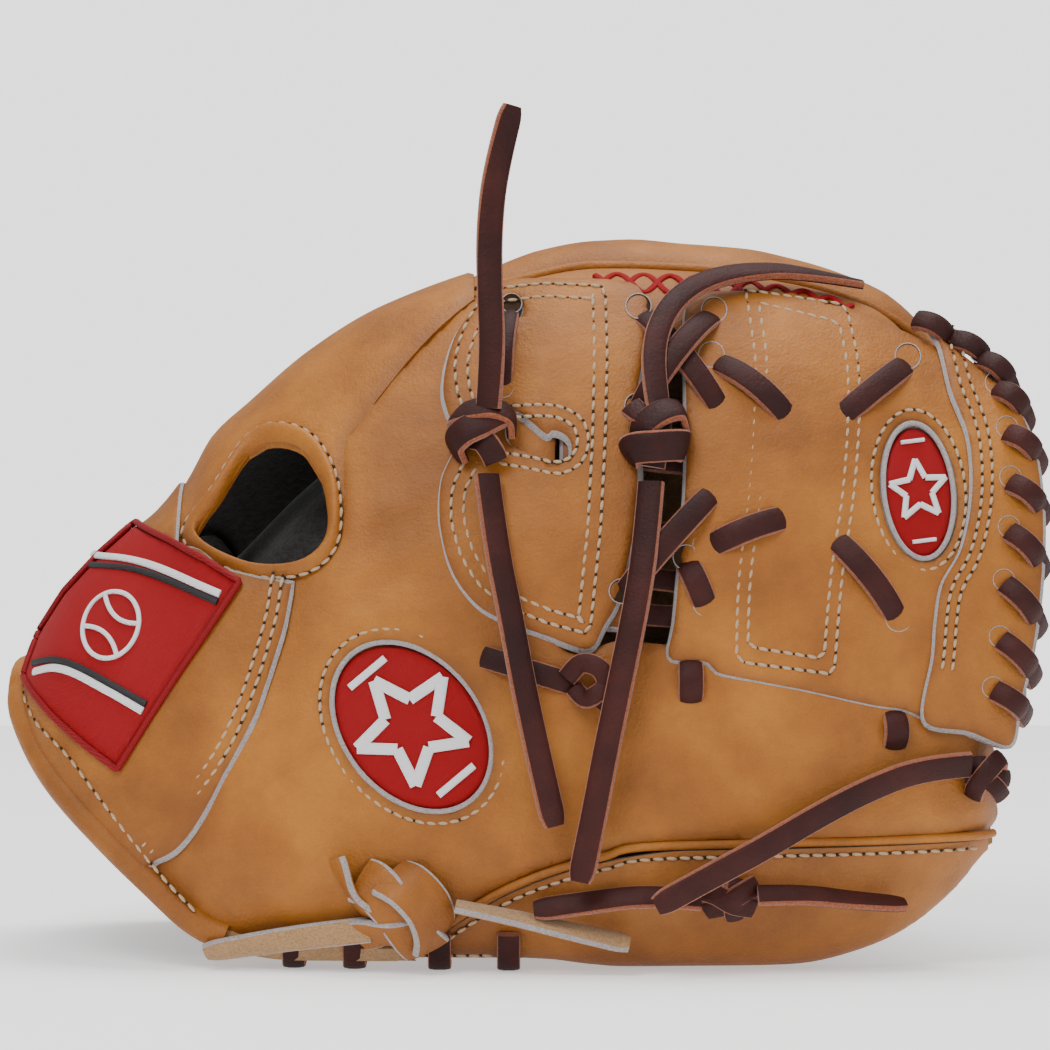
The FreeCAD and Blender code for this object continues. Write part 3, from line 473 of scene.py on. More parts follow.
def blob_mesh(name, spots, materials):
    """Many small rounded lumps: (centre, long axis, side axis, up axis) in millimetres."""
    rings, sides = 5, 8
    shape = [(0.0, 0.0, -1.0)]
    for i in range(1, rings):
        lift = -math.cos(math.pi * i / rings)
        reach = math.sin(math.pi * i / rings)
        for j in range(sides):
            turn = 2 * math.pi * j / sides
            shape.append((reach * math.cos(turn), reach * math.sin(turn), lift))
    shape.append((0.0, 0.0, 1.0))
    shape = np.array(shape)
    local = []
    for j in range(sides):
        local.append((0, 1 + (j + 1) % sides, 1 + j))
        last = 1 + (rings - 2) * sides
        local.append((len(shape) - 1, last + j, last + (j + 1) % sides))
    for i in range(rings - 2):
        for j in range(sides):
            a = 1 + i * sides
            local.append((a + j, a + (j + 1) % sides, a + sides + (j + 1) % sides, a + sides + j))
    points, faces = [], []
    for centre, long_axis, side_axis, up_axis in spots:
        base = len(points) * len(shape)
        points.append(np.asarray(centre) + shape[:, 2:3] * long_axis + shape[:, 0:1] * side_axis
                      + shape[:, 1:2] * up_axis)
        faces += [tuple(base + v for v in f) for f in local]
    return build(name, np.vstack(points), faces, materials)


# ---- materials -----------------------------------------------------------------------
class Nodes:
    """Small helper that adds nodes to a material."""

    def __init__(self, name):
        self.material = bpy.data.materials.new(name)
        self.material.use_nodes = True
        self.tree = self.material.node_tree
        self.shader = self.tree.nodes["Principled BSDF"]
        self.place = self.tree.nodes.new("ShaderNodeTexCoord").outputs["Object"]

    def link(self, out, into):
        self.tree.links.new(out, into)

    def add(self, kind, **values):
        node = self.tree.nodes.new("ShaderNode" + kind)
        for socket, value in values.items():
            node.inputs[socket].default_value = value
        return node

    def feed(self, value, socket):
        """Puts a number or a colour on a socket, or links what makes it."""
        if isinstance(value, tuple):
            socket.default_value = (*value, 1.0)
        elif isinstance(value, float):
            socket.default_value = value
        else:
            self.link(value, socket)

    def noise(self, scale, detail=3.0, rough=0.5, stretch=None, warp=0.0):
        node = self.add("TexNoise", Scale=scale, Detail=detail, Roughness=rough, Distortion=warp)
        self.link(self.stretched(stretch), node.inputs["Vector"])
        return node.outputs["Fac"]

    def stretched(self, stretch):
        if stretch is None:
            return self.place
        node = self.add("Mapping", Scale=stretch)
        self.link(self.place, node.inputs["Vector"])
        return node.outputs["Vector"]

    def cells(self, scale):
        node = self.add("TexVoronoi", Scale=scale)
        self.link(self.place, node.inputs["Vector"])
        return node.outputs["Distance"]

    def wave(self, scale, distortion):
        node = self.add("TexWave", Scale=scale, Distortion=distortion)
        node.bands_direction = "DIAGONAL"
        self.link(self.place, node.inputs["Vector"])
        return node.outputs["Fac"]

    def ramp(self, value, stops):
        node = self.add("ValToRGB")
        while len(node.color_ramp.elements) < len(stops):
            node.color_ramp.elements.new(0.5)
        for element, (position, colour) in zip(node.color_ramp.elements, stops):
            element.position = position
            element.color = (*colour, 1.0)
        self.link(value, node.inputs["Fac"])
        return node.outputs["Color"]

    def mix(self, factor, first, second, kind="MIX"):
        node = self.add("Mix")
        node.data_type = "RGBA"
        node.blend_type = kind
        for value, socket in ((factor, 0), (first, 6), (second, 7)):
            self.feed(value, node.inputs[socket])
        return node.outputs[2]

    def math(self, kind, first, second):
        node = self.add("Math")
        node.operation = kind
        self.feed(first, node.inputs[0])
        self.feed(second, node.inputs[1])
        return node.outputs[0]

    def attribute(self, name):
        node = self.add("Attribute")
        node.attribute_name = name
        return node.outputs["Fac"]

    def bump(self, height, strength, distance, before=None):
        node = self.add("Bump", Strength=strength, Distance=distance)
        self.link(height, node.inputs["Height"])
        if before is not None:
            self.link(before, node.inputs["Normal"])
        return node.outputs["Normal"]

    def finish(self, colour, roughness, normal, sheen=0.0, specular=0.5):
        self.link(colour, self.shader.inputs["Base Color"])
        self.feed(roughness, self.shader.inputs["Roughness"])
        self.link(normal, self.shader.inputs["Normal"])
        self.shader.inputs["Specular IOR Level"].default_value = specular
        if sheen:
            self.shader.inputs["Sheen Weight"].default_value = sheen
            self.shader.inputs["Sheen Roughness"].default_value = 0.5
        return self.material


def leather_material(name, dark, middle, light, rough=(0.48, 0.66), grain=1.0, wear_and_shade_colour=None,
                     shine=0.36):
    """Full-grain leather: mottled colour, pores, fine wrinkles, darker rubbed edges that are partly
    wear and partly painted shade at seams and edges.
    """
    n = Nodes(name)
    broad = n.noise(26.0, 5.0, 0.6)
    colour = n.ramp(broad, [(0.34, dark), (0.50, middle), (0.66, light)])
    patches = n.noise(95.0, 5.0, 0.6, None, 0.4)
    colour = n.mix(n.math("MULTIPLY", patches, 0.35), colour, dark)
    pores = n.cells(1150.0)
    speck = n.ramp(n.noise(2400.0, 2.0, 0.6), [(0.42, (0.82, 0.80, 0.78)), (0.62, (1.0, 1.0, 1.0))])
    colour = n.mix(0.55, colour, speck, "MULTIPLY")
    if wear_and_shade_colour:
        # darkens along cut edges and seams: partly wear, partly painted shade where the pieces meet
        rub_and_shade = n.math("MULTIPLY", n.attribute("wear_and_seam_shade"), n.noise(160.0, 3.0))
        colour = n.mix(rub_and_shade, colour, wear_and_shade_colour)
    streaks = n.noise(150.0, 5.0, 0.6, (1.0, 0.45, 2.2), 0.8)
    creases = n.bump(streaks, 0.16 * grain, 0.0012)
    wrinkles = n.bump(n.noise(520.0, 4.0, 0.65, None, 0.6), 0.22 * grain, 0.0005, creases)
    normal = n.bump(pores, 0.20 * grain, 0.00035, wrinkles)
    spread = n.math("ADD", n.math("MULTIPLY", patches, rough[1] - rough[0]), rough[0])
    return n.finish(colour, spread, normal, 0.0, shine)


def fibre_material(name, dark, light, scale=1700.0, sheen=0.25):
    """Cut leather edge or suede: matt and fibrous."""
    n = Nodes(name)
    fibres = n.noise(scale, 4.0, 0.75, (1.0, 1.0, 1.6), 0.3)
    colour = n.ramp(fibres, [(0.32, dark), (0.60, light)])
    colour = n.mix(n.math("MULTIPLY", n.noise(130.0), 0.3), colour, dark)
    normal = n.bump(fibres, 0.65, 0.0006)
    return n.finish(colour, 0.95, normal, sheen, 0.2)


def thread_material(name, dark, light, scale=1500.0, rough=0.55):
    """Twisted or satin-stitched thread."""
    n = Nodes(name)
    strands = n.wave(scale, 1.2)
    colour = n.mix(strands, dark, light)
    colour = n.mix(n.math("MULTIPLY", n.noise(420.0, 3.0), 0.35), colour, dark)
    normal = n.bump(strands, 0.5, 0.0003)
    return n.finish(colour, rough, normal, 0.0, 0.22)


TAN = leather_material("tan_leather", (0.215, 0.066, 0.0045), (0.310, 0.102, 0.0080),
                       (0.415, 0.150, 0.0150), grain=1.6, wear_and_shade_colour=(0.13, 0.036, 0.003))
PALM = leather_material("palm_leather_worn", (0.180, 0.054, 0.0040), (0.260, 0.084, 0.0070),
                        (0.350, 0.124, 0.0130), (0.42, 0.60), 1.7, (0.11, 0.030, 0.003))
LACE = leather_material("lace_leather", (0.017, 0.0026, 0.0018), (0.034, 0.0050, 0.0034),
                        (0.058, 0.0100, 0.0066), (0.52, 0.70), 1.3, None, 0.22)
LACE_EDGE = fibre_material("lace_cut_edge", (0.110, 0.026, 0.013), (0.340, 0.100, 0.042), 1500.0)
RAW = fibre_material("raw_leather_edge", (0.180, 0.150, 0.142), (0.430, 0.390, 0.385))
SUEDE = fibre_material("suede_flesh_side", (0.250, 0.130, 0.050), (0.420, 0.260, 0.130), 1300.0)
LINING = leather_material("lining_leather", (0.115, 0.058, 0.022), (0.165, 0.088, 0.036),
                          (0.215, 0.120, 0.052), (0.6, 0.8), 0.9)
FELT = fibre_material("wool_felt", (0.30, 0.27, 0.23), (0.52, 0.48, 0.42), 900.0, 0.5)
PILE = fibre_material("shearling_pile", (0.010, 0.009, 0.008), (0.045, 0.040, 0.037), 420.0, 0.6)
THREAD = thread_material("beige_thread", (0.33, 0.21, 0.115), (0.62, 0.46, 0.30))
# dark colour for the needle holes and lace holes: painted shade of the holes
HOLE_SHADE = fibre_material("painted_hole_shade", (0.020, 0.010, 0.005), (0.055, 0.026, 0.012), 2000.0, 0.0)
RED = thread_material("crimson_twill", (0.190, 0.0003, 0.0020), (0.360, 0.0006, 0.0050),
                      1250.0, 0.7)
RED_EDGE = thread_material("crimson_border", (0.140, 0.0003, 0.0016), (0.270, 0.0006, 0.0040),
                           700.0, 0.6)
WHITE = thread_material("white_satin_stitch", (0.55, 0.52, 0.53), (0.90, 0.89, 0.89), 1100.0, 0.42)
BLACK = thread_material("black_satin_stitch", (0.008, 0.008, 0.009), (0.035, 0.033, 0.036), 1100.0)

LEATHERS = [TAN, RAW, PILE]    # outer face, cut edge, inner face
SEWN = [TAN, TAN, PILE]        # the same where the edge is turned in and sewn


def attach(obj, side, slot, *nodes):
    """Parents a piece to its body's empty, or bakes in its place if it sits on a fold; hides the
    CAD nodes it stands for.
    """
    if side == "thumb_fold":
        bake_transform(obj)
    elif side == "pinky_fold":
        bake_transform(obj)
    else:
        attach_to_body(obj, side)
    if nodes:
        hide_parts(*nodes)
    return obj


# ---- outlines, (x, z) seen from the thumb side ---------------------------------------
STRAP_EDGE = [(-58, 117.5), (-62.5, 107), (-65, 93), (-72.5, 70), (-82, 52), (-100.5, 29)]
STRAP_LINE = catmull(STRAP_EDGE, 2.5)
HOLE_OUTLINE = [(-91, 119), (-84, 130), (-77, 141), (-70, 145), (-61, 143), (-55, 134),
                (-54, 121), (-58, 114), (-66, 111), (-78, 112)]
THUMB_WELT = [(-30, 4), (-20, 13), (-6, 22), (8, 28), (22, 32), (40, 35), (130, 36)]
THUMB_TOP = [(8, 92), (45, 90), (77, 83.5), (104, 78), (120, 72), (129, 63)]
THUMB_PANEL = [(-110, 20), (-104, 44), (-84, 74), (-78, 95), (-72, 110), (-66, 111),
               (-58, 113), (-54, 117), (-50.5, 124), (-50.5, 137), (-51, 146), (-44, 155),
               (-33, 168), (-14.5, 185), (-2, 184), (4, 172), (9, 164), (9, 94), (27, 92),
               (45, 90), (77, 83.5), (104, 78), (120, 72), (129.5, 63), (130.5, 50),
               (129.5, 38.5), (100, 38), (40, 37), (22, 34), (8, 30), (-6, 24), (-20, 15),
               (-30, 4), (-32, 1.2), (-64, 1.2), (-86, 5.5), (-102, 17)]
WEB_LOOP = [(-5, 188), (-13.5, 181), (-20, 172), (-23, 159), (-21, 150), (-18, 145.5),
            (-20, 141.5), (-23.5, 133), (-23.5, 120.5), (-20, 108.5), (-13.5, 100),
            (-6, 95.7), (6, 91.5), (18, 88), (23, 95), (27, 103), (32, 127), (32, 155),
            (36, 178), (33, 186), (27, 188.5), (12, 189)]
WEB_STRAP = [(45.5, 183), (44, 166), (44, 150), (43.5, 131), (40.7, 98.5), (39.2, 86),
             (49.5, 84.5), (53, 81.5), (65, 79), (77.5, 76.5), (95, 72.5), (104, 71),
             (111, 68), (122, 64.5), (134, 61), (137, 72), (141, 88), (143.5, 107),
             (144, 126), (141.5, 143), (135.5, 154), (126, 163), (117, 169), (107, 174),
             (93, 180), (78, 184), (60, 185.5)]
CAP_EDGE = [(110.3, 175.5), (115.2, 168), (118, 155.4), (122.4, 143), (122.9, 128.4),
            (119.9, 114.4), (114.4, 104.8), (112.5, 94.6), (111.7, 85.3), (109.2, 67.9)]
RIM_CAP = CAP_EDGE + [(122, 64.3), (134.3, 60.8), (137.3, 72), (141.3, 88), (143.8, 107),
                      (144.3, 126), (141.8, 143), (135.8, 154), (126.3, 163), (117, 170)]
KEYHOLE = [(-4, 148.5), (-2, 151.5), (6, 145.5), (8.5, 146.5), (12, 144.5), (12, 140.5),
           (8, 139), (5, 141), (-3, 144)]
THUMB_OVAL = (-30.5, 68.2, 25.6, 18.7, -50.0)
WEB_OVAL = (108.9, 130.4, 18.1, 9.6, -84.0)


def oval(x, z, long_radius, short_radius, tilt, grow=0.0, count=64):
    turn = np.linspace(0, 2 * np.pi, count, endpoint=False)
    a = (long_radius + grow) * np.cos(turn)
    b = (short_radius + grow) * np.sin(turn)
    c, d = math.cos(math.radians(tilt)), math.sin(math.radians(tilt))
    return np.stack([x + a * c - b * d, z + a * d + b * c], 1)


# ---- stitches ------------------------------------------------------------------------
STITCHES = {}
STITCH_LEAN = 0.10       # how far a thread leans across its row
STITCH_SHARE = 0.42      # half of a thread's length, as a share of the pitch
STITCH_HALF = (0.52, 0.50)      # half of its width and height
NEEDLE_HOLE = (0.17, 0.50, 0.22)     # size of the dark blob of painted shade at each needle hole: share of the pitch, half width and half height


def stitch(line, depth, group, pitch=3.4, closed=False):
    """Row of stitches along an (x, z) line, each a short thread between two needle holes, shown as
    dark blobs of painted shade.
    """
    if closed:
        line = closed_up(respace(closed_up(line), pitch, True))
    else:
        line = respace(line, pitch)
    middles = (line[:-1] + line[1:]) / 2
    here = on_front(middles, depth)
    ends = on_front(line, depth)
    out = outward(middles[:, 0], middles[:, 1])
    ahead = unit(ends[1:] - ends[:-1])
    aside = unit(np.cross(ahead, out))
    spots = STITCHES.setdefault((group, "thread"), [])
    holes = STITCHES.setdefault((group, "hole"), [])
    for middle, end, along_row, beside, up in zip(here, ends[:-1], ahead, aside, out):
        tilted = along_row + beside * STITCH_LEAN
        spots.append((middle + up * 0.15, tilted * pitch * STITCH_SHARE,
                      beside * STITCH_HALF[0], up * STITCH_HALF[1]))
        # dark blob of painted shade at the needle hole
        holes.append((end + up * 0.02, along_row * pitch * NEEDLE_HOLE[0],
                      beside * NEEDLE_HOLE[1], up * NEEDLE_HOLE[2]))


def finish_stitches():
    for (group, kind), spots in STITCHES.items():
        side, label = group
        # the hole blobs carry the painted shade of the needle holes
        obj = blob_mesh("stitch_" + label + "_" + kind, spots,
                        [THREAD if kind == "thread" else HOLE_SHADE])
        attach(obj, side, "lace" if kind == "thread" else "lining")


# ---- shell ---------------------------------------------------------------------------
def tip_close(x, tip):
    """How far a tip has closed at x: 0 along the finger, nearly 1 at its end."""
    t = np.clip((x - (tip - TIP_LENGTH)) / TIP_LENGTH, 0, 0.985)
    return 1 - np.sqrt(1 - t * t)


def heel_and_thumb():
    """Outer thumb panel with the heel, as one skin."""
    oval_hole = oval(*THUMB_OVAL, 0.2)
    swell = bumps((60, 62, 60, 26, 2.4), (-20, 120, 26, 36, 1.4), (-75, 45, 24, 30, 1.6),
                  (-30, 68, 30, 26, 0.9), (25, 55, 22, 14, -1.4), (95, 45, 30, 10, 1.0),
                  (-62, 60, 10, 40, -0.8))

    def relief(flat):
        rise = swell(flat)
        ring = distance_to(flat, oval_hole, True)
        rise -= 0.55 * np.exp(-((ring - 3.4) / 1.1) ** 2)
        welt_line = catmull(THUMB_WELT, 3.0)
        rise -= 0.9 * np.exp(-(distance_to(flat, welt_line) / 2.2) ** 2)
        edge = distance_to(flat, STRAP_LINE)
        rise -= 0.5 * np.exp(-((edge - 1.0) / 3.0) ** 2)
        folds = np.sin(flat[:, 0] * 0.33 + flat[:, 1] * 0.21) * np.exp(
            -((flat[:, 0] + 62) / 30) ** 2 - ((flat[:, 1] - 18) / 14) ** 2)
        folds += 0.6 * np.sin(flat[:, 1] * 0.42 - flat[:, 0] * 0.12) * np.exp(
            -((flat[:, 0] + 34) / 16) ** 2 - ((flat[:, 1] - 128) / 26) ** 2)
        close = tip_close(flat[:, 0], 131.0) * np.clip((66 - flat[:, 1]) / 6, 0, 1)
        return rise + folds * 0.45 - close * 11.0
    skin = panel("thumb_panel", THUMB_PANEL, 0.0, LEATHER, SEWN, [oval_hole], relief, 2.3,
                 edge_round=1.1, bevel=0.0)
    attach(skin, "thumb_fold", "shell_leather", "thumb_back_leather", "thumb_heel_leather")


def over(x, s_scaled, depth):
    """Points over the dome at (x, s * S_SCALE)."""
    return place(x, np.asarray(s_scaled) / S_SCALE, depth)


def s_of(x, z):
    return float(thumb_side_s(x, z))


def scaled(points):
    return np.array(points) * [1.0, S_SCALE]


def wrist_strap():
    """Strap over the wrist: a thicker band with a bare cut edge towards the hand."""
    half = [(-141, 0.5), (-141, 0.25), (-141, 0.006), (-124, 0.006), (-108, 0.006)]
    half += [(x, s_of(x, z)) for x, z in STRAP_EDGE[:0:-1]]
    half += [(-73, s_of(-73, 108.5)), (-84, s_of(-84, 110.5)), (-96, s_of(-96, 115))]
    outline = half + [(x, 1 - s) for x, s in reversed(half[1:])]
    puff = bumps((-100, 0.18 * S_SCALE, 16, 30, 1.0))
    strap = panel("wrist_strap_leather", scaled(outline), WEB_DEPTH, LEATHER, LEATHERS, (),
                  puff, 2.4, over, False, 0.9)
    attach(strap, "hand", "shell_leather", "wrist_strap")
    lining = panel("strap_shearling", scaled([(-138, 0.03), (-107, 0.04), (-90, 0.12),
                                              (-80, 0.26), (-92, 0.36), (-106, 0.42),
                                              (-106, 0.58), (-92, 0.64), (-80, 0.74),
                                              (-90, 0.88), (-107, 0.96), (-138, 0.97),
                                              (-139, 0.5)]),
                   0.1, 4.2, [PILE, PILE], (), None, 3.0, over)
    attach(lining, "hand", "shearling", "strap_lining")


def hand_back():
    """Leather over the back of the hand, above the wrist hole."""
    seam = [(-53, 120), (-49, 130), (-49.2, 145.2), (-42.4, 154), (-31.6, 167), (-13.6, 184)]
    rim = [(-91, 119), (-84, 130), (-77, 141), (-70, 145), (-61, 143), (-55, 134)]
    outline = [(-104, 0.5), (-101, s_of(-101, 117.3)), (-95, s_of(-95, 115.5))]
    outline += [(x, s_of(x, z)) for x, z in rim + seam]
    outline += [(KNUCKLE_X, 0.47), (KNUCKLE_X, 0.548), (-60, 0.548), (-103.5, 0.548)]
    swell = bumps((-45, 0.45 * S_SCALE, 30, 26, 1.6), (-22, 0.40 * S_SCALE, 14, 12, 1.2))
    back = panel("hand_back_skin", scaled(outline), 0.1, LEATHER, SEWN, (), swell, 2.6,
                 over, False, 0.9, 0.0)
    attach(back, "hand", "shell_leather", "hand_back_leather")
    outline = [(-103.5, 0.549), (-60, 0.549), (KNUCKLE_X, 0.549), (KNUCKLE_X, 0.8),
               (-49, 0.8), (-58, 1 - s_of(-58, 115)), (-66, 1 - s_of(-66, 108)),
               (-84, 1 - s_of(-84, 106)), (-99, 1 - s_of(-99, 112))]
    swell = bumps((-45, 0.62 * S_SCALE, 30, 22, 1.8), (-40, 0.74 * S_SCALE, 22, 12, 1.0))
    outer = panel("hand_back_outer_skin", scaled(outline), 0.1, LEATHER, SEWN, (), swell,
                  2.8, over, False, 0.9, 0.0)
    attach(outer, "pinky_fold", "shell_leather")


def outer_side():
    """Leather down the little-finger side, from the strap to the fingertip."""
    under = [(-110, 20), (-104, 44), (-86, 72), (-80, 92), (-75, 108)]
    outline = [(x, 1 - s_of(x, z)) for x, z in under]
    outline += [(-66, 1 - s_of(-66, 109.5)), (-58, 1 - s_of(-58, 116)), (-49, 0.802),
                (20, 0.802), (72, 0.802), (84, 0.806), (93, 0.83), (98, 0.87), (99, 0.93),
                (97, 0.998), (40, 0.998), (-40, 0.998), (-86, 0.998), (-104, 0.998)]
    swell = bumps((-40, 0.88 * S_SCALE, 40, 14, 1.6), (40, 0.88 * S_SCALE, 40, 14, 2.0),
                  (-75, 0.86 * S_SCALE, 16, 12, 1.2))

    def relief(flat):
        return swell(flat) - 12.0 * tip_close(flat[:, 0], 100.0)
    side = panel("outer_side_skin", scaled(outline), 0.0, LEATHER, SEWN, (), relief, 2.8,
                 over, False, 1.1, 0.0)
    attach(side, "pinky_fold", "shell_leather", "pinky_heel_leather")


def inner_border(x, side):
    """The s on the palm arch where a side meets the middle of the palm."""
    ss = np.linspace(0.02, 0.5, 400)
    if side == "thumb":
        p = arch(x, ss, 1.0)
        good = (p[:, 1] < THUMB_AXIS_Y - HINGE_GAP) & (p[:, 2] < THUMB_AXIS_Z - 6)
        return ss[good].max() if good.any() else 0.1
    p = arch(x, 1 - ss, 1.0)
    good = p[:, 1] > PINKY_AXIS_Y + HINGE_GAP
    return 1 - ss[good].max()


def wrap(side, x0, x1, outer_s):
    """Rows of points: down the outside, under the foot and up into the pocket."""
    rows = []
    for x in np.linspace(x0, x1, 74):
        inner = inner_border(x, side)
        if side == "thumb":
            path = [(s, 0.0) for s in np.linspace(outer_s(x), 0.035, 12)]
            path += [(0.0, 0.2), (0.0, 0.5), (0.0, 0.8)]
            path += [(s, 1.0) for s in np.linspace(0.035, inner, 60)]
        else:
            path = [(0.985, 0.0), (0.995, 0.0), (1.0, 0.2), (1.0, 0.5), (1.0, 0.8)]
            path += [(s, 1.0) for s in np.linspace(0.965, inner, 60)]
        ss, shares = np.array(path).T
        close = tip_close(x, x1 + 1.5)
        shares = shares * (1 - close) + 0.5 * close
        points = place(x, ss, shares * full_depth(x, ss))
        points[:, 2] = np.maximum(points[:, 2], 0.3)
        line = respace(points, 1.0)
        lengths = np.linspace(0, len(line) - 1, 56)
        rows.append(np.stack([np.interp(lengths, np.arange(len(line)), line[:, k])
                              for k in range(3)], 1))
    rows = np.array(rows)
    for _ in range(3):
        soften(rows)
        soften(rows.swapaxes(0, 1))
    return rows


WRAP_START = -84.5
PALM_SPAN = (-86, 121)
# where the palm ends under the fingertips, across the arch
PALM_TIP_S, PALM_TIP_X = (0.55, 0.56, 0.64, 0.66, 0.78), (121, 114, 111, 99, 95)


def palm():
    """Pocket leather: the two sides wrap round the feet, the middle joins them."""
    def welt_s(x):
        if x < -31:
            return 0.012
        xs, zs = np.array(THUMB_WELT, dtype=float).T
        return s_of(x, float(np.interp(x, xs, zs)) - 0.6)
    thumb = grid_mesh("thumb_palm_skin", wrap("thumb", WRAP_START, 129, welt_s), [PALM, SUEDE],
                      LEATHER)
    attach(thumb, "thumb_fold", "shell_leather", "thumb_palm_leather", "heel_soles")
    outer = grid_mesh("outer_palm_skin", wrap("pinky", WRAP_START, 98, None), [PALM, SUEDE],
                      -LEATHER)
    attach(outer, "pinky_fold", "shell_leather", "pinky_palm_leather")
    rows = []
    heel, end = PALM_SPAN
    for x in np.linspace(heel, end, 74):
        low, high = inner_border(x, "thumb") - 0.012, inner_border(x, "pinky") + 0.012
        ss = np.linspace(low, high, 40)
        dent = 0.7 * np.exp(-((x - 20) / 60) ** 2) * np.sin(np.linspace(0, math.pi, 40))
        dent = dent + 7.0 * tip_close(x, 122.0)
        tips = np.interp(ss, PALM_TIP_S, PALM_TIP_X)
        xs = heel + (x - heel) * (tips - heel) / (end - heel)
        rows.append(place(xs, ss, full_depth(xs, ss) + 0.15 - dent))
    obj = grid_mesh("palm_skin", rows, [PALM, SUEDE], LEATHER)
    attach(obj, "hand", "shell_leather", "palm_leather")
    rows = []
    for x in np.linspace(-82, -8, 26):
        low, high = inner_border(x, "thumb"), inner_border(x, "pinky")
        ss = np.linspace(low, high, 34)
        quilt = 0.5 * np.sin(np.linspace(0, 9 * math.pi, 34))
        rows.append(place(x, ss, full_depth(x, ss) - 8.6 + quilt))
    felt = grid_mesh("palm_pad_cover", rows, [PILE, FELT], -2.5)
    attach(felt, "hand", "lining", "palm_lining", "palm_felt", "heel_pads")


# ---- fingers -------------------------------------------------------------------------
INDEX_LOW = [(-14, 186), (8, 168), (20, 165.6), (100, 165.6), (124, 160)]


def index_low(x):
    return thumb_side_s(x, along(INDEX_LOW, x)) + 0.002


def flat_border(value):
    return lambda x: np.full(np.shape(x), value)


INDEX_HIGH = 0.451
FINGERS = {      # body, the two borders across the arch, and the x of the tip
    "index": ("hand", index_low, flat_border(INDEX_HIGH), 119.0),
    "middle": ("hand", flat_border(0.459), flat_border(0.539), 124.0),
    "ring": ("pinky_fold", flat_border(0.551), flat_border(0.636), 112.0),
    "pinky": ("pinky_fold", flat_border(0.644), flat_border(0.796), 92.0),
}


BACK_LENGTH, BACK_BEND = 26, 22     # tip of a finger's back, and its part that turns in
ACROSS = np.linspace(-1, 1, 17)     # from border to border
SKIN_DEPTH = 1.2


def crown_of(v):
    """How far a finger's back stands out between its borders, which are at v = -1 and 1."""
    return 2.2 * (1 - v ** 2) - 1.6 * np.abs(v) ** 5


def finger_backs():
    """Rounded leather back of each finger, closed at its tip."""
    for name, (side, low, high, tip) in FINGERS.items():
        xs = np.concatenate([np.linspace(KNUCKLE_X, tip - BACK_LENGTH, 34),
                             tip - BACK_LENGTH * np.cos(np.linspace(0.05, math.pi / 2, 16))])
        rows = []
        for x in xs:
            share = np.clip((x - (tip - BACK_BEND)) / BACK_BEND, 0, 1)
            bend = 21.0 * (1 - math.sqrt(1 - share * share * 0.999))
            pinch = 0.014 * share ** 2
            v = ACROSS
            s0, s1 = float(low(x)) + pinch, float(high(x)) - pinch
            ss = (s0 + s1) / 2 + (s1 - s0) / 2 * v
            start = np.clip((x - KNUCKLE_X) / 16, 0, 1)
            crown = 2.2 * (1 - v ** 2) * start * (1 - share) - 1.6 * np.abs(v) ** 5 * start
            knuckle = 0.7 * math.exp(-((x - 32) / 9) ** 2) + 0.5 * math.exp(-((x - 66) / 8) ** 2)
            crown = crown + knuckle * (1 - v ** 2)
            rows.append(place(x, ss, SKIN_DEPTH + bend - crown))
        rows = np.array(rows)
        # darker towards each finger's two borders: partly wear, partly painted shade where the
        # fingers meet
        wear_and_seam_shade = np.tile(np.abs(ACROSS) ** 6, len(xs)) * 0.8
        obj = grid_mesh(name + "_finger_skin", rows, SEWN, -LEATHER, False, wear_and_seam_shade)
        attach(obj, side, "shell_leather", name + "_back_leather")
        if name != "index":
            stations = np.linspace(KNUCKLE_X + 2, tip - 10, 40)
            edge = low(stations) - 0.004
            share = np.clip((stations - (tip - BACK_LENGTH)) / BACK_LENGTH, 0, 1)
            depth = 2.4 + 16 * (1 - np.sqrt(1 - share ** 2 * 0.9))
            line = place(stations, edge, depth)
            piping = tube_mesh(name + "_seam_piping", [line], 1.5, [TAN], 8)
            body = "hand" if name == "middle" else "pinky_fold"
            attach(piping, body, "shell_leather")
    stations = np.linspace(-47, 82, 50)
    line = place(stations, 0.800, 1.6 + 5 * np.clip((stations - 62) / 20, 0, 1) ** 2)
    attach(tube_mesh("outer_seam_piping", [line], 1.9, [TAN], 8), "pinky_fold", "shell_leather")


def stall(name, side, low, high, start, tip):
    """Padded lining tube of a finger, quilted in rings and closed at its tip."""
    rows = []
    turn = np.linspace(0, 2 * np.pi, 24, endpoint=False)
    for x in np.concatenate([np.linspace(start, tip - STALL_TIP, 22),
                             tip - STALL_TIP * np.cos(np.linspace(0.2, 1.45, 7))]):
        s0, s1 = float(low(x)), float(high(x))
        middle = (s0 + s1) / 2
        reach = np.linalg.norm(arch(x, s1, 0.5) - arch(x, s0, 0.5))
        room = float(full_depth(x, middle))
        close = math.sqrt(max(0.02, 1 - max(0.0, (x - (tip - STALL_TIP)) / STALL_TIP) ** 2))
        wall = 5.2 - 0.35 * math.sin(x * 0.7)
        wide = max(0.05, 0.5 - wall / reach) * close
        deep = (0.5 - (wall + 2.2) / room) * close
        a = np.sign(np.cos(turn)) * np.abs(np.cos(turn)) ** 0.8
        b = np.sign(np.sin(turn)) * np.abs(np.sin(turn)) ** 0.8
        ss = middle + (s1 - s0) * wide * a
        rows.append(place(x, ss, (0.52 + deep * b) * full_depth(x, ss)))
    obj = grid_mesh(name + "_stall_lining", rows, [LINING], 0.0, True)
    attach(obj, side, "lining", name + "_stall")


def stalls():
    for name, (side, low, high, tip) in FINGERS.items():
        stall(name, side, low, high, KNUCKLE_X + 4, tip - 6)
    top = [(x, z - 6) for x, z in THUMB_TOP]
    stall("thumb", "thumb_fold", flat_border(0.03), lambda x: thumb_side_s(x, along(top, x)),
          -26, 122)


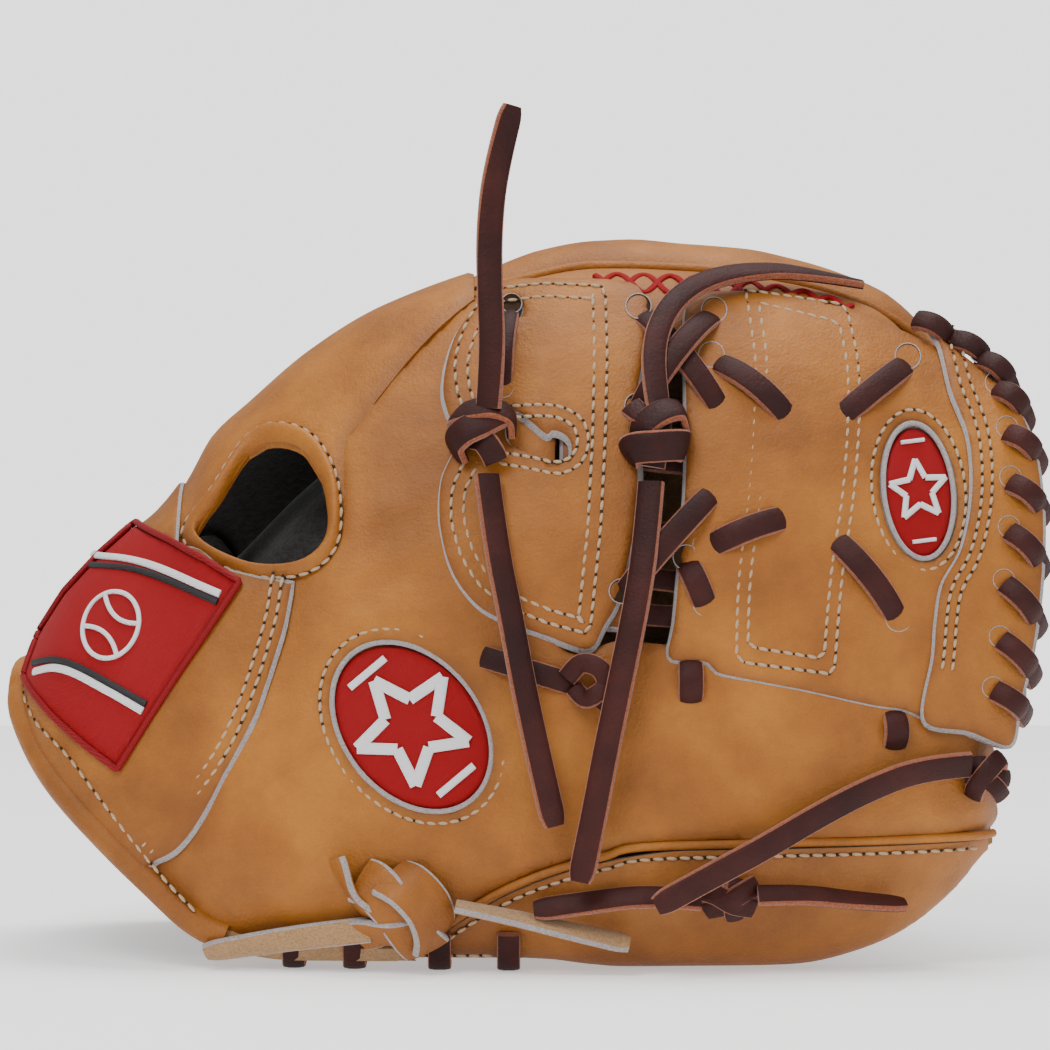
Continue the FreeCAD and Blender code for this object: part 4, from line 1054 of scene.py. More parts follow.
def bindings():
    """Rolled leather around the wrist hole and the wrist opening."""
    ring = closed_up(catmull(HOLE_OUTLINE, 2.2, True))
    centre = ring.mean(0)
    fat = 4.0 + 0.5 * np.sin(np.linspace(0, 4 * np.pi, len(ring)))
    rows = []
    for k in range(14):
        turn = math.pi * (0.04 + 1.12 * k / 13)
        flat = centre + (ring - centre) * (1.10 + 0.105 * math.cos(turn))
        rows.append(on_front(flat, 0.8 - fat * math.sin(turn)))
    rows = np.array(rows)
    obj = grid_mesh("hole_rolled_binding", rows, [TAN, SUEDE], -0.8)
    attach(obj, "hand", "shell_leather", "hole_binding")
    stitch(centre + (ring[:-1] - centre) * 1.215, -0.75, ("hand", "hole"), 3.6, True)
    xs = np.linspace(-82, -138.5, 30)
    side_line = front(xs, along(THUMB_FOOT, xs) + 3.4, -0.6)
    end = place(-141.0, np.linspace(0.12, 0.88, 30), 0.4)
    other = side_line[::-1].copy()
    other[:, 1] = place(xs, 1.0, 0.0)[::-1, 1] + 2.0
    line = np.vstack([side_line, end, other])
    for _ in range(6):
        soften(line)
    obj = tube_mesh("wrist_rolled_binding", [respace(line, 2.0)], 4.1, [TAN], 16)
    attach(obj, "hand", "shell_leather", "wrist_binding")
    path = catmull([(-140.3, 72), (-136, 65.5), (-126.5, 57.5), (-118, 47.5), (-108, 35.5),
                    (-98, 24), (-90, 16)], 2.0)
    stitch(path, WEB_DEPTH - 0.1, ("hand", "wrist"), 3.6)


# ---- web -----------------------------------------------------------------------------
def web():
    swell = bumps((5, 168, 16, 12, 0.7), (0, 117, 16, 16, 0.9), (28, 140, 6, 40, -0.3))
    keyhole = catmull(KEYHOLE, 1.2, True)
    eyelet = oval(-3.4, 179.6, 2.6, 2.6, 0, 0, 20)
    loop = panel("web_loop_leather", WEB_LOOP, WEB_DEPTH, LEATHER, LEATHERS,
                 [keyhole, eyelet], swell, 2.0)
    attach(loop, "thumb_fold", "shell_leather", "web_loop")
    rect = np.array([(-8.5, 184.3), (6.1, 186.0), (22.8, 185.4), (23.2, 167.8), (22.6, 145.8),
                     (21.2, 121), (18.2, 92.5), (6.1, 95.6), (-3.6, 99.5), (-11.8, 105),
                     (-17.0, 113), (-19.8, 122.4), (-19.6, 131), (-16, 138.5)])
    group = ("thumb_fold", "loop")
    lobe = catmull([(-14.6, 149.5), (-17.9, 156), (-18.7, 166), (-14.8, 177), (-8.7, 183.8)], 2)
    around = catmull([(-6.3, 152.8), (3, 153.6), (10.2, 153.2), (16.2, 149.9), (18.0, 144.4),
                      (16.2, 138.5), (10.2, 135.3), (1.9, 136.6), (-6.9, 138)], 2)
    for line, apart, pitch in ((respace(rect, 2.0), 3.5, 3.4), (lobe, 3.5, 3.4),
                               (around, 3.0, 3.0)):
        for inset in (0.0, -apart):
            stitch(offset(line, inset), WEB_DEPTH, group, pitch)

    swell = bumps((75, 140, 16, 40, 0.9), (54, 120, 8, 40, 0.5), (105, 108, 10, 14, 0.7))
    oval_hole = oval(*WEB_OVAL, 0.2)
    strap = panel("web_strap_leather", WEB_STRAP, WEB_DEPTH, LEATHER, LEATHERS, [oval_hole],
                  swell, 2.1)
    attach(strap, "thumb_side", "shell_leather", "web_strap")
    left = [(61.9, 184.3), (63.2, 174), (64.1, 164.7), (63.3, 147), (61.9, 130.1),
            (58.9, 106.4), (58.2, 85.2)]
    right = [(85.0, 81.5), (87.2, 106.4), (90.8, 130.1), (92.6, 150), (92.7, 164.7), (89.9, 180)]
    group = ("thumb_side", "strap")
    sides = [catmull(left, 2), catmull(right, 2)]
    stitch(respace(np.vstack(sides + [[left[0]]]), 1.0), WEB_DEPTH, group)
    inner = np.vstack([offset(line, 3.1)[2:-2] for line in sides])
    stitch(respace(closed_up(inner), 1.0), WEB_DEPTH, group)

    cap = panel("web_rim_leather", RIM_CAP, CAP_DEPTH, CAP_THICK, LEATHERS, (), None, 2.0)
    attach(cap, "thumb_side", "shell_leather", "web_rim_cap")
    edge = catmull(CAP_EDGE, 2)
    for inset in (3.6, 6.4):
        line = offset(edge, inset)
        keep = (line[:, 1] < 172) & (line[:, 1] > 80)
        stitch(line[keep], CAP_DEPTH, ("thumb_side", "cap"), 3.0)

    for name, x0, x1, nodes in (("web_loop_backing", 10, 33, "web_loop_lining"),
                                ("web_strap_backing", 47, 139, "web_strap_lining")):
        low = [(x, float(np.interp(x, *np.array(THUMB_TOP).T)) + 4) for x in
               np.linspace(x1, x0, 9)]
        top = [(x, min(162.0, float(along(TOP, x)) - 12)) for x in np.linspace(x0, x1, 9)]
        obj = panel(name, top + low, 0.4, 2.2, [PALM, RAW, SUEDE], (), None, 3.4, front, False)
        attach(obj, "thumb_side", "shell_leather", nodes)


# ---- laces ---------------------------------------------------------------------------
CROSS_LACES = [((32, 180), (55, 152.5), 5.9), ((53, 179), (31.5, 153.5), 8.3),
               ((52.5, 132), (27, 104), 7.0), ((44.5, 113), (50, 100.5), 4.2)]
STRAP_LACES = [((52, 167), (74, 150), 5.2), ((107, 166), (86, 150.5), 4.8),
               ((50, 116.5), (73, 125), 5.0), ((84, 120), (103, 96), 5.0)]
THUMB_LACES = [((45.7, 86.5), (45.7, 75), 3.4), ((101.5, 71.5), (101.5, 62), 3.4)]
LOOP_LACE = [((-3.2, 180.5), (-5.5, 158), 5.0)]
SHORT_LACE = ((-12, 87.6), (15, 79.5))
RIM_WRAPS = [((109, 179.5), (121, 173)), ((119, 172), (131, 164.5)),
             ((127, 165), (137, 158)), ((131, 157), (140.5, 150.5)),
             ((133.5, 145.5), (143.5, 139)), ((134, 132.5), (144.2, 125)),
             ((133.3, 119.5), (143.5, 110)), ((131.7, 105.5), (142.5, 94)),
             ((130.5, 90.5), (141, 80.5)), ((128.5, 77), (138.5, 70))]
LACES = [LACE, LACE_EDGE]
CHORD_SHARE = 0.55       # a taut lace leaves the dome for the straight line between its holes


def bridge(start, stop, rise, sink=1.2, bow=0.0):
    """Line of a lace that comes out of one hole, arches and goes down into another."""
    t = np.linspace(0, 1, 22)
    flat = np.array(start) + (np.array(stop) - start) * t[:, None]
    side = unit(np.array([-(stop[1] - start[1]), stop[0] - start[0]], dtype=float))
    flat = flat + side * (bow * np.sin(np.pi * t))[:, None]
    height = -sink + (rise + sink) * np.sin(np.pi * t) ** 0.55
    base = on_front(flat)
    facing = outward(flat[:, 0], flat[:, 1])
    facing = unit(facing + facing.mean(0) * 1.5)
    chord = base[0] + (base[-1] - base[0]) * t[:, None]
    base = base * (1 - CHORD_SHARE) + chord * CHORD_SHARE
    return base + facing * height[:, None], facing


def lace_group(name, side, rows, nodes, width=7.0, bow=0.0, hole_height=2.9):
    strands, rings = [], []
    for start, stop, rise in rows:
        line, facing = bridge(start, stop, rise, bow=bow)
        taper = 1 - 0.16 * np.abs(np.linspace(-1, 1, len(line))) ** 4
        strands.append(strap_rings(line, facing, width * taper, LACE_THICK, 0.35))
        rings += [start, stop]
    obj = lace_mesh(name, strands, LACES)
    attach(obj, side, "lace", *nodes)
    lace_holes(name + "_holes", side, rings, width, hole_height)


def lace_holes(name, side, spots, width, height):
    """Pale raw rim under each end of a lace, round a dark disc of painted shade that stands for its
    hole.
    """
    points, faces, picks = [], [], []
    count = 20
    turn = np.linspace(0, 2 * np.pi, count, endpoint=False)
    for x, z in spots:
        base = len(points)
        for reach, lift in ((0.53, 0.02), (0.51, 0.12), (0.485, 0.08), (0.45, -0.5)):
            fx = x + width * reach * np.cos(turn)
            fz = z + width * reach * 0.94 * np.sin(turn)
            points += front(fx, fz, -height - lift).tolist()
        points.append(front(x, z, -height + 0.6).tolist())
        for k in range(3):
            for j in range(count):
                n = (j + 1) % count
                faces.append(quad(base, k, j, n, count))
                picks.append(0 if k < 2 else 1)
        for j in range(count):
            faces.append((base + 3 * count + j, base + 3 * count + (j + 1) % count,
                          base + 4 * count))
            picks.append(1)
    obj = build(name, points, faces, [RAW, HOLE_SHADE], picks)
    attach(obj, side, "lining")


def web_laces():
    lace_group("web_cross_laces", "thumb_side", CROSS_LACES, ["web_cross_lace"])
    lace_group("web_strap_laces", "thumb_side", STRAP_LACES, ["web_strap_lace"], 7.2, 0.8)
    lace_group("web_thumb_laces", "thumb_side", THUMB_LACES, ["web_thumb_lace"], 7.0, 0, 0.2)
    lace_group("web_loop_lace_strip", "thumb_fold", LOOP_LACE, ["web_loop_lace"], 5.6)
    strands = []
    holes = []
    for (x0, z0), (x1, z1) in RIM_WRAPS:
        t = np.linspace(0, 1, 18)
        flat = np.array([x0, z0]) + np.array([x1 - x0, z1 - z0]) * t[:, None]
        facing = outward(flat[:, 0], flat[:, 1]).mean(0)
        facing = unit(facing + np.array([0.0, -1.4, 0.0]) * max(0.0, facing[2]))
        rim = unit(np.array([x1 - x0, 0, z1 - z0]) * 0.9 + np.array([3.0, 0, 0]))
        top0, top1 = along(TOP, x0) - 5.0, along(TOP, x1) - 5.0
        first, last = front(x0, min(z0, top0)), front(x1, min(z1, top1))
        base = first + (last - first) * t[:, None]
        height = 3.4 + 4.6 * np.sin(np.pi * np.minimum(1, t * 1.25 + 0.05)) ** 0.6
        over_edge = np.clip((t - 0.72) / 0.28, 0, 1) ** 1.6
        line = (base + facing * (height - 6.5 * over_edge)[:, None]
                + rim * (1.2 * over_edge)[:, None])
        turned = unit(facing * (1 - 0.75 * over_edge)[:, None] + rim * over_edge[:, None])
        strands.append(strap_rings(line, turned, 6.3, 2.4, 0.4))
        if z0 < top0:
            holes.append((x0 + 0.6, z0 - 0.4))
    attach(lace_mesh("rim_lace_turns", strands, LACES), "thumb_side", "lace", "rim_lace")
    lace_holes("rim_lace_holes", "thumb_side", holes, 6.0, -CAP_DEPTH)
    # inner laces seen through the gap between the two web pieces
    strands = []
    for z0, z1 in ((158, 156), (144, 141), (121, 124), (112, 108), (101, 99)):
        line = front(np.linspace(22, 52, 14), np.linspace(z0, z1, 14), 3.6)
        strands.append(strap_rings(line, outward(30, z0), 6.0, 2.0))
    attach(lace_mesh("web_inner_laces", strands, LACES), "thumb_side", "lace")
    line, facing = bridge(*SHORT_LACE, 2.4, 1.0)
    short = strap_rings(line, facing, 6.4, 2.0)

    def bend(stops):
        return np.array([front(x, z, -rise) for x, z, rise in stops])
    loop_a = catmull(bend([(12, 81, 2.6), (16, 84, 5), (21, 82, 6.4), (23, 77, 5.6),
                           (20, 73.5, 3.4)]), 1.0)
    loop_b = catmull(bend([(14, 78, 2.2), (17, 74.5, 5.2), (21, 76, 6.8), (24.5, 80, 4.2)]), 1.0)
    strands = [short, strap_rings(loop_a, outward(18, 78), 5.6, 2.0),
               strap_rings(loop_b, outward(18, 78) + [0, -0.4, 0.3], 5.2, 2.0)]
    attach(lace_mesh("short_lace_knotted", strands, LACES), "thumb_side", "lace", "short_lace")


def foot_turns():
    """Lace turns over the bottom edge."""
    for name, side, stations, pinky, node in (
            ("heel_foot_laces", "hand", (-63.3,), (-63.3,), "heel_lace"),
            ("thumb_foot_laces", "thumb_fold", (-46.5, -23.0, -4.0), (), "thumb_heel_lace")):
        strands = []
        for xs, sign in ((stations, -1.0), (pinky, 1.0)):
            for x in xs:
                ss = [s_of(x, z) for z in (11, 8, 4.5)] + [0.0, 0.0, 0.0]
                shares = [0, 0, 0, 0.1, 0.4, 0.7]
                if sign > 0:
                    ss = [1 - s for s in ss]
                p = [place(x, s, np.array(k * float(full_depth(x, s)))) for s, k in zip(ss, shares)]
                faces = np.array([(0, sign, 0), (0, sign, -0.2), (0, sign, -0.7),
                                  (0, sign * 0.3, -1), (0, 0, -1), (0, 0, -1)], dtype=float)
                p = np.array(p) + unit(faces) * 1.3
                p[:, 2] = np.maximum(p[:, 2], 1.1)
                line = catmull(p, 1.5)
                lined = np.stack([np.interp(np.linspace(0, 1, len(line)), np.linspace(0, 1, 6),
                                            faces[:, k]) for k in range(3)], 1)
                rings = strap_rings(line, unit(lined), 6.4, 2.0)
                rings[..., 2] = np.maximum(rings[..., 2], 0.05)
                strands.append(rings)
        attach(lace_mesh(name, strands, LACES), side, "lace", node)


def pocket_laces():
    """Laces that tie the fingertips together on the pocket side."""
    for name, side, s0, s1, node in (
            ("fingertip_lace", "hand", 0.385, 0.525, "finger_lace"),
            ("outer_fingertip_lace", "pinky_fold", 0.575, 0.72, "outer_finger_lace")):
        ss = np.linspace(s0, s1, 26)
        xs = 101 - 45 * (ss - 0.42)
        skin = arch(xs, ss, 1.0)
        inward = unit(skin - arch(xs, ss, 0.0))
        wave = 0.9 + 0.9 * np.abs(np.sin(np.linspace(0, 3 * np.pi, 26)))
        rings = strap_rings(skin + inward * (1.2 + wave)[:, None], inward, 6.6, 2.2, 0.4)
        attach(lace_mesh(name, [rings], LACES), side, "lace", node)


# ---- knots and free lace ends --------------------------------------------------------
def local_frame(x, z):
    out = outward(x, z)
    across = unit(np.array([1.0, 0, 0]) - out * out[0])
    up = np.cross(out, across)
    return across, (up if up[2] > 0 else -up), out


def knot(name, side, slot, node, x, z, height, bands, materials=None, thick=2.4):
    """Tied lace: each band is a width and points (right, up, out) around the knot's middle."""
    across, up, out = local_frame(x, z)
    centre = front(x, z) + out * height
    strands = []
    for width, points in bands:
        p = catmull(points, 0.7)
        line = centre + p[:, 0:1] * across + p[:, 1:2] * up + p[:, 2:3] * out
        core = unit(p * [0.7, 0.7, 1.0] + [0, 0, 2.5])
        facing = core[:, 0:1] * across + core[:, 1:2] * up + core[:, 2:3] * out
        strands.append(strap_rings(line, facing, width, thick, 0.3))
    obj = lace_mesh(name, strands, materials or LACES)
    attach(obj, side, slot, node)
    return obj


OVERHAND = [
    (8.6, [(-7.5, 6.5, -3.5), (-6.5, 5.5, 0.5), (-2, 5.2, 3.4), (3, 5.4, 3.2), (7.2, 3.6, 0.4),
           (7.0, 0.5, -3.0)]),
    (8.4, [(-6.8, -6.0, -3.5), (-8.0, -3.4, 0.6), (-5.0, -1.6, 4.2), (0, 0.6, 4.4),
           (4.0, 3.4, 2.4), (5.5, 5.2, -1.5)]),
    (7.0, [(-3.0, -1.5, 0.2), (0.0, -3.4, 2.2), (2.2, -6.5, 1.8), (3.4, -9.0, 0.0)]),
    (7.0, [(-1.5, 9.5, -1.5), (-1.6, 6.0, 0.4), (-2.2, 1.0, 1.2)]),
]
WRAPPED = [
    (8.8, [(-7.2, -5.2, -2.5), (-6.6, -4.6, 2.0), (0.0, -4.8, 4.6), (6.4, -3.6, 2.4),
           (7.2, -2.4, -2.2)]),
    (8.2, [(-3.8, -1.4, 0.6), (-3.6, 1.6, 3.4), (1.4, 5.2, 4.4), (6.0, 6.4, 2.2),
           (7.6, 3.0, -1.8)]),
    (6.4, [(-7.0, 8.5, -0.5), (-4.5, 5.4, 1.8), (-1.2, 3.0, 2.2), (2.4, 2.2, 1.0)]),
    (7.0, [(1.6, 9.5, -1.0), (0.8, 5.6, 1.0), (0.2, 0.0, 1.4), (-1.2, -9.0, -0.6)]),
]
SMALL_KNOT = [
    (5.6, [(-3.6, -5.0, -2.0), (-4.2, -2.0, 1.6), (-1.0, 2.6, 3.2), (2.8, 5.0, 1.0),
           (4.0, 2.4, -2.0)]),
    (5.2, [(-2.6, 5.0, -1.0), (-3.2, 1.6, 1.2), (0.4, -2.4, 3.4), (3.4, -5.2, 0.6)]),
    (5.0, [(-6.2, 0.6, -1.4), (-3.0, 0.4, 0.6), (2.6, 0.4, 0.8), (5.6, -0.6, -1.2)]),
]
STAR_KNOT = [
    (6.2, [(-9.0, 2.4, -1.6), (-4.0, 1.8, 1.6), (0.6, -0.4, 3.4), (6.0, -2.4, 0.8)]),
    (5.8, [(-6.4, -3.6, -1.6), (-2.6, -1.6, 1.6), (1.6, 1.8, 3.2), (6.8, 3.4, -0.6)]),
    (5.2, [(1.6, 4.8, -1.0), (0.8, 1.4, 2.4), (0.4, -2.4, 2.6), (1.2, -5.6, -0.8)]),
]
WIDE_KNOT = [
    (12.0, [(-9.8, 7.2, -2.6), (-6.4, 7.0, 1.2), (-1.6, 2.6, 4.8), (3.2, -5.6, 3.6),
            (5.4, -10.2, -1.4)]),
    (13.0, [(-3.2, 8.6, -1.8), (1.4, 8.0, 2.8), (5.8, 3.4, 4.4), (7.4, -2.6, 3.0),
            (6.4, -7.8, -1.0)]),
    (9.6, [(-10.6, -7.4, -1.8), (-6.2, -5.4, 1.6), (-1.4, -4.8, 3.4), (3.6, -3.6, 2.4)]),
    (9.0, [(-15.2, 12.8, -3.0), (-13.4, 8.4, -0.8), (-10.2, 2.2, 0.2), (-4.6, -2.8, 0.6)]),
]
# each free end: width, thickness, twist at its start and end in degrees, side, route
TAILS = {
    "loop_tail_up": (7.2, 2.4, 25, -35, "thumb_side",
        [(-9.5, -66, 155), (-8.3, -64.5, 170), (-9.2, -61.5, 187), (-9.4, -58, 204),
         (-7.6, -56, 221), (-3, -55, 238)]),
    "loop_tail_down": (7.4, 2.4, 28, 20, "thumb_side",
        [(-10, -70.5, 137), (-7.5, -76.5, 118), (-3.5, -81.5, 99), (0, -85, 80),
         (4.2, -87, 60.5), (8.5, -87.2, 42)]),
    "web_tail_up": (6.8, 2.4, -25, 75, "thumb_side",
        [(37.5, -67.5, 152), (35.5, -62.5, 164), (36.5, -55, 175.5), (41.5, -47, 184),
         (50, -40, 189.5), (62, -33.5, 192), (77, -28, 192), (94.5, -20, 188)]),
    "web_tail_down": (7.4, 2.4, -18, -12, "thumb_side",
        [(35, -72, 135), (33.5, -78, 118), (30.5, -82.5, 100), (26.5, -85.5, 81),
         (22.5, -87.5, 62), (19, -89, 43.5), (15.5, -90, 27)]),
    "corner_tail": (7.2, 2.4, 35, 18, "thumb_side",
        [(122.5, -71, 57.5), (109.5, -76, 57), (95, -80.5, 52), (80.5, -84, 44.8),
         (66, -88, 36.5), (51, -91, 28.8), (36, -91.5, 20.5)]),
    "thumb_tail_left": (6.6, 2.2, -30, -12, "thumb_side",
        [(48.5, -84.5, 21.5), (34, -85, 23), (18.5, -83.5, 20.8), (3, -81.5, 18.5)]),
    "thumb_tail_right": (6.2, 2.2, 25, 50, "thumb_side",
        [(64, -84, 22.8), (77, -82.5, 23), (90.5, -79, 20.8), (104.5, -73, 19.2)]),
    "heel_tail_left": (7.2, 2.0, 15, 55, "hand",
        [(-42, -75.5, 12.5), (-56, -73.5, 10.8), (-71, -70, 8.4), (-87.5, -65.5, 5.2)]),
    "heel_tail_right": (6.4, 2.0, 60, 35, "hand",
        [(-18.5, -81, 19.5), (-4, -81.5, 16.8), (12.5, -80.5, 12.6), (29, -79.5, 8.8)]),
}


def spline_points(name, route):
    """Points on the smooth spline that a route steers, in metres."""
    curve = bpy.data.curves.new(name + "_route", "CURVE")
    curve.dimensions = "3D"
    curve.resolution_u = 8
    spline = curve.splines.new("NURBS")
    spline.points.add(len(route) - 1)
    for point, place_mm in zip(spline.points, route):
        point.co = (*((np.array(place_mm) - ORIGIN) * MM), 1.0)
    spline.order_u = 3
    spline.use_endpoint_u = True
    holder = add_object(name + "_route", curve)
    mesh = bpy.data.meshes.new_from_object(holder)
    line = np.array([tuple(v.co) for v in mesh.vertices])
    bpy.data.objects.remove(holder)
    bpy.data.meshes.remove(mesh)
    return line


def tails():
    """Free lace ends that come out of the knots."""
    for name, (width, thick, first, last, side, route) in TAILS.items():
        path = spline_points(name, route)
        line = respace(path / MM + ORIGIN, 1.6)
        facing = np.array([0, -1.0, 0.25])
        twist = np.linspace(first, last, len(line))
        taper = np.full(len(line), float(width))
        taper[-3:] *= [0.97, 0.88, 0.72]
        tan = name.startswith("heel")
        rings = strap_rings(line, facing, taper, thick, 0.3, twist)
        obj = lace_mesh(name + "_strip", [rings], [SUEDE, RAW] if tan else LACES)
        attach(obj, side, "tan_lace" if tan else "lace", name)


WIDER, WIDE_GROWTH = 1.12, (1.2, 1.12, 0.85)      # the heel's knot, against its pattern


def knots():
    knot("loop_overhand_knot", "thumb_side", "lace", "loop_knot", -10, 146, 6.0, OVERHAND)
    knot("web_wrapped_knot", "thumb_side", "lace", "web_knot", 36.5, 145, 6.6, WRAPPED)
    knot("corner_small_knot", "thumb_side", "lace", "corner_knot", 127, 53.5, 3.0, SMALL_KNOT)
    knot("thumb_star_knot", "thumb_side", "lace", "thumb_knot", 56.5, 22.5, 3.4, STAR_KNOT)
    wide = [(width * WIDER, np.array(points) * WIDE_GROWTH) for width, points in WIDE_KNOT]
    knot("heel_wide_knot", "hand", "tan_lace", "heel_knot", -32.5, 19.0, 4.2, wide,
         [TAN, RAW], 2.2)


# ---- embroidery ----------------------------------------------------------------------
SATIN_THICK = 0.7
PATCH_DEPTH = -2 * GAP - LEATHER - 1.2
WRIST_PATCH_EDGE = np.array([(-110, 116.6), (-99, 113.6), (-88, 109.4), (-78, 104), (-86, 92),
                             (-95, 79), (-104, 65.5), (-112, 53.5), (-121, 59.5), (-131, 66.8),
                             (-140.6, 74.8), (-137, 86), (-129.5, 97.5), (-120, 107.8)])
BALL = (-114.5, 90.5)    # middle of the ball on the wrist patch
BALL_TILT = 55.0


def satin(name, paths, depth_at, side, material, width):
    """Raised satin-stitch bars along flat paths."""
    strands = []
    for path in paths:
        line = respace(np.asarray(path, dtype=float), 0.9)
        points = depth_at(line, SATIN_THICK * 0.35)
        facing = outward(line[:, 0], line[:, 1])
        strands.append(strap_rings(points, facing, width, SATIN_THICK, 0.7))
    obj = lace_mesh(name, strands, [material, material])
    attach(obj, side, "patch")


def star(x, z, radius, tilt, inner):
    """Five-pointed star outline."""
    turn = np.radians(tilt) + np.linspace(0, 2 * np.pi, 11) + np.pi / 2
    reach = radius * np.where(np.arange(11) % 2 == 0, 1.0, inner)
    return np.stack([x + reach * np.cos(turn), z + reach * np.sin(turn)], 1)


def patches():
    """Embroidered crimson patches with plain star and ball motifs."""
    for name, shape, depth, side, node in (
            ("thumb_patch_cloth", THUMB_OVAL, 0.5, "thumb_fold", "thumb_patch"),
            ("web_patch_cloth", WEB_OVAL, WEB_DEPTH + 0.6, "thumb_side", "web_patch")):
        swell = bumps((shape[0], shape[1], shape[2] * 0.8, shape[3] * 0.9, 0.5))
        cloth = panel(name, oval(*shape, -0.5), depth, 0.9, [RED, RED], (), swell, 1.8,
                      front, False, 0.3)
        attach(cloth, side, "patch", node)
        rim = oval(*shape, 0.1)
        ring = closed_up(on_front(rim, depth - 0.2))
        attach(tube_mesh(name + "_raw_rim", [ring], 0.75, [RAW], 8), side, "shell_leather")
        group = (side, name)
        height = 0.0 if side == "thumb_fold" else WEB_DEPTH
        stitch(oval(*shape, 3.5), height, group, 3.2, True)

        def lift(line, extra, depth=depth, swell=swell):
            return on_front(line, depth - swell(line) - extra)
        size = shape[3] * 0.86
        outline = star(shape[0], shape[1], size, shape[4] + 90, 0.46)
        satin(name + "_star", [outline[k:k + 2] for k in range(10)], lift, side, WHITE,
              shape[3] * 0.17)
        tilt = math.radians(shape[4])
        long_dir = np.array([math.cos(tilt), math.sin(tilt)])
        bars = []
        for sign in (-1, 1):
            centre = np.array(shape[:2]) + long_dir * sign * shape[2] * 0.74
            across = np.array([-long_dir[1], long_dir[0]]) * shape[3] * 0.34
            bars.append(np.array([centre - across, centre + across]))
        satin(name + "_bars", bars, lift, side, WHITE, shape[3] * 0.11)

    cloth = panel("wrist_patch_cloth", WRIST_PATCH_EDGE, PATCH_DEPTH, 1.3, [RED, RED], (),
                  None, 2.0, front, False, 0.4)
    attach(cloth, "hand", "patch", "wrist_patch")

    def lift(line, extra):
        return on_front(line, PATCH_DEPTH - extra)
    ring = on_front(respace(closed_up(WRIST_PATCH_EDGE), 1.0), PATCH_DEPTH + 0.1)
    attach(tube_mesh("wrist_patch_border", [ring], 1.0, [RED_EDGE], 8), "hand", "patch")
    upper = catmull([(-122.0, 107.0), (-112.5, 107.5), (-103, 106.2), (-93, 103.4),
                     (-83.5, 100.2)], 1.2)
    lower = catmull([(-137.5, 78.5), (-131, 80.5), (-124, 79.6), (-114, 75.4), (-104, 70.4)], 1.2)
    satin("wrist_patch_white_stripes", [upper, offset(lower, -2.0)], lift, "hand", WHITE, 2.2)
    satin("wrist_patch_black_stripes", [offset(upper, -2.2), lower], lift, "hand", BLACK, 1.8)
    ball = closed_up(oval(*BALL, 9.0, 7.6, BALL_TILT, 0, 48))
    seams = []
    for sign in (-1, 1):
        t = np.linspace(-0.95, 0.95, 16)
        bend = sign * (2.6 + 3.0 * t ** 2)
        c, d = math.cos(math.radians(BALL_TILT)), math.sin(math.radians(BALL_TILT))
        seams.append(np.stack([BALL[0] + bend * c - t * 6.6 * d,
                               BALL[1] + bend * d + t * 6.6 * c], 1))
    satin("wrist_patch_ball", [ball] + seams, lift, "hand", WHITE, 1.3)


def index_band():
    """Wave of red embroidery along the top of the index finger."""
    xs = np.linspace(20, 92, 120)
    low = index_low(xs)
    strands = []
    for phase in (0.0, np.pi):
        ss = 0.418 + 0.010 * np.sin(xs * 0.42 + phase)
        v = (ss - (low + INDEX_HIGH) / 2) / ((INDEX_HIGH - low) / 2)
        points = place(xs, ss, SKIN_DEPTH - crown_of(v) - 0.35)
        facing = unit(points - place(xs, ss, 8.0))
        strands.append(strap_rings(points, facing, 1.9, 0.9, 0.5))
    attach(lace_mesh("index_wave_embroidery", strands, [RED, RED]), "hand", "patch")


def seam_stitches():
    """Rows of stitches on the shell."""
    for inset in (-3.4, -6.2):
        line = offset(STRAP_LINE, inset)
        line = line[(line[:, 1] < 108) & (line[:, 1] > 27)]
        stitch(line, WEB_DEPTH, ("hand", "strap"), 3.4)
    seam = catmull([(-49, 150), (-44, 156.5), (-33, 169.5), (-14.5, 186.6)], 2)
    stitch(offset(seam, 0.6), -0.05, ("hand", "seam"), 3.6)
    bottom = catmull([(-84, 8.4), (-70, 5.0), (-50, 4.4), (-28, 4.4), (-8, 4.6)], 2)
    stitch(bottom, -0.1, ("thumb_fold", "bottom"), 3.6)
    welt = catmull(THUMB_WELT, 2.0)
    line = on_front(welt + [0, 1.0], 0.5)
    piping = tube_mesh("thumb_seam_piping", [line], 1.25, [TAN], 8)
    attach(piping, "thumb_fold", "shell_leather", "thumb_welt")
    under = offset(welt, -2.6)
    stitch(under[3:-2], 0.0, ("thumb_fold", "welt"), 3.6)


def hide_welts():
    """The short pipings between fingers stand for the CAD welts."""
    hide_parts("index_welt")
    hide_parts("ring_welt")


# ---- studio --------------------------------------------------------------------------
WORLD_LIGHT = 0.62       # strength of the even light from all sides
WORLD_SEEN = 2.1         # and how bright the same white room looks behind the glove
LIGHT_AIM = (0, 0, 0.1)
FLOOR_RADIUS = 0.8
FLOOR_GLOW = 0.5
CAMERA_DISTANCE = 2.0
CAMERA_TILT = 3.0        # degrees, looking slightly down
VIEW_WIDTH = 0.28875     # metres across the picture, at the glove's near side
NEAR_SIDE = 0.06
VIEW_MIDDLE = (-0.0011, 0.0, 0.1196)


def area_light(name, where, size, power):
    data = bpy.data.lights.new(name, "AREA")
    data.size = size
    data.energy = power
    obj = add_object(name, data)
    obj.location = where
    obj.rotation_euler = (Vector(LIGHT_AIM) - Vector(where)).to_track_quat("-Z", "Y").to_euler()


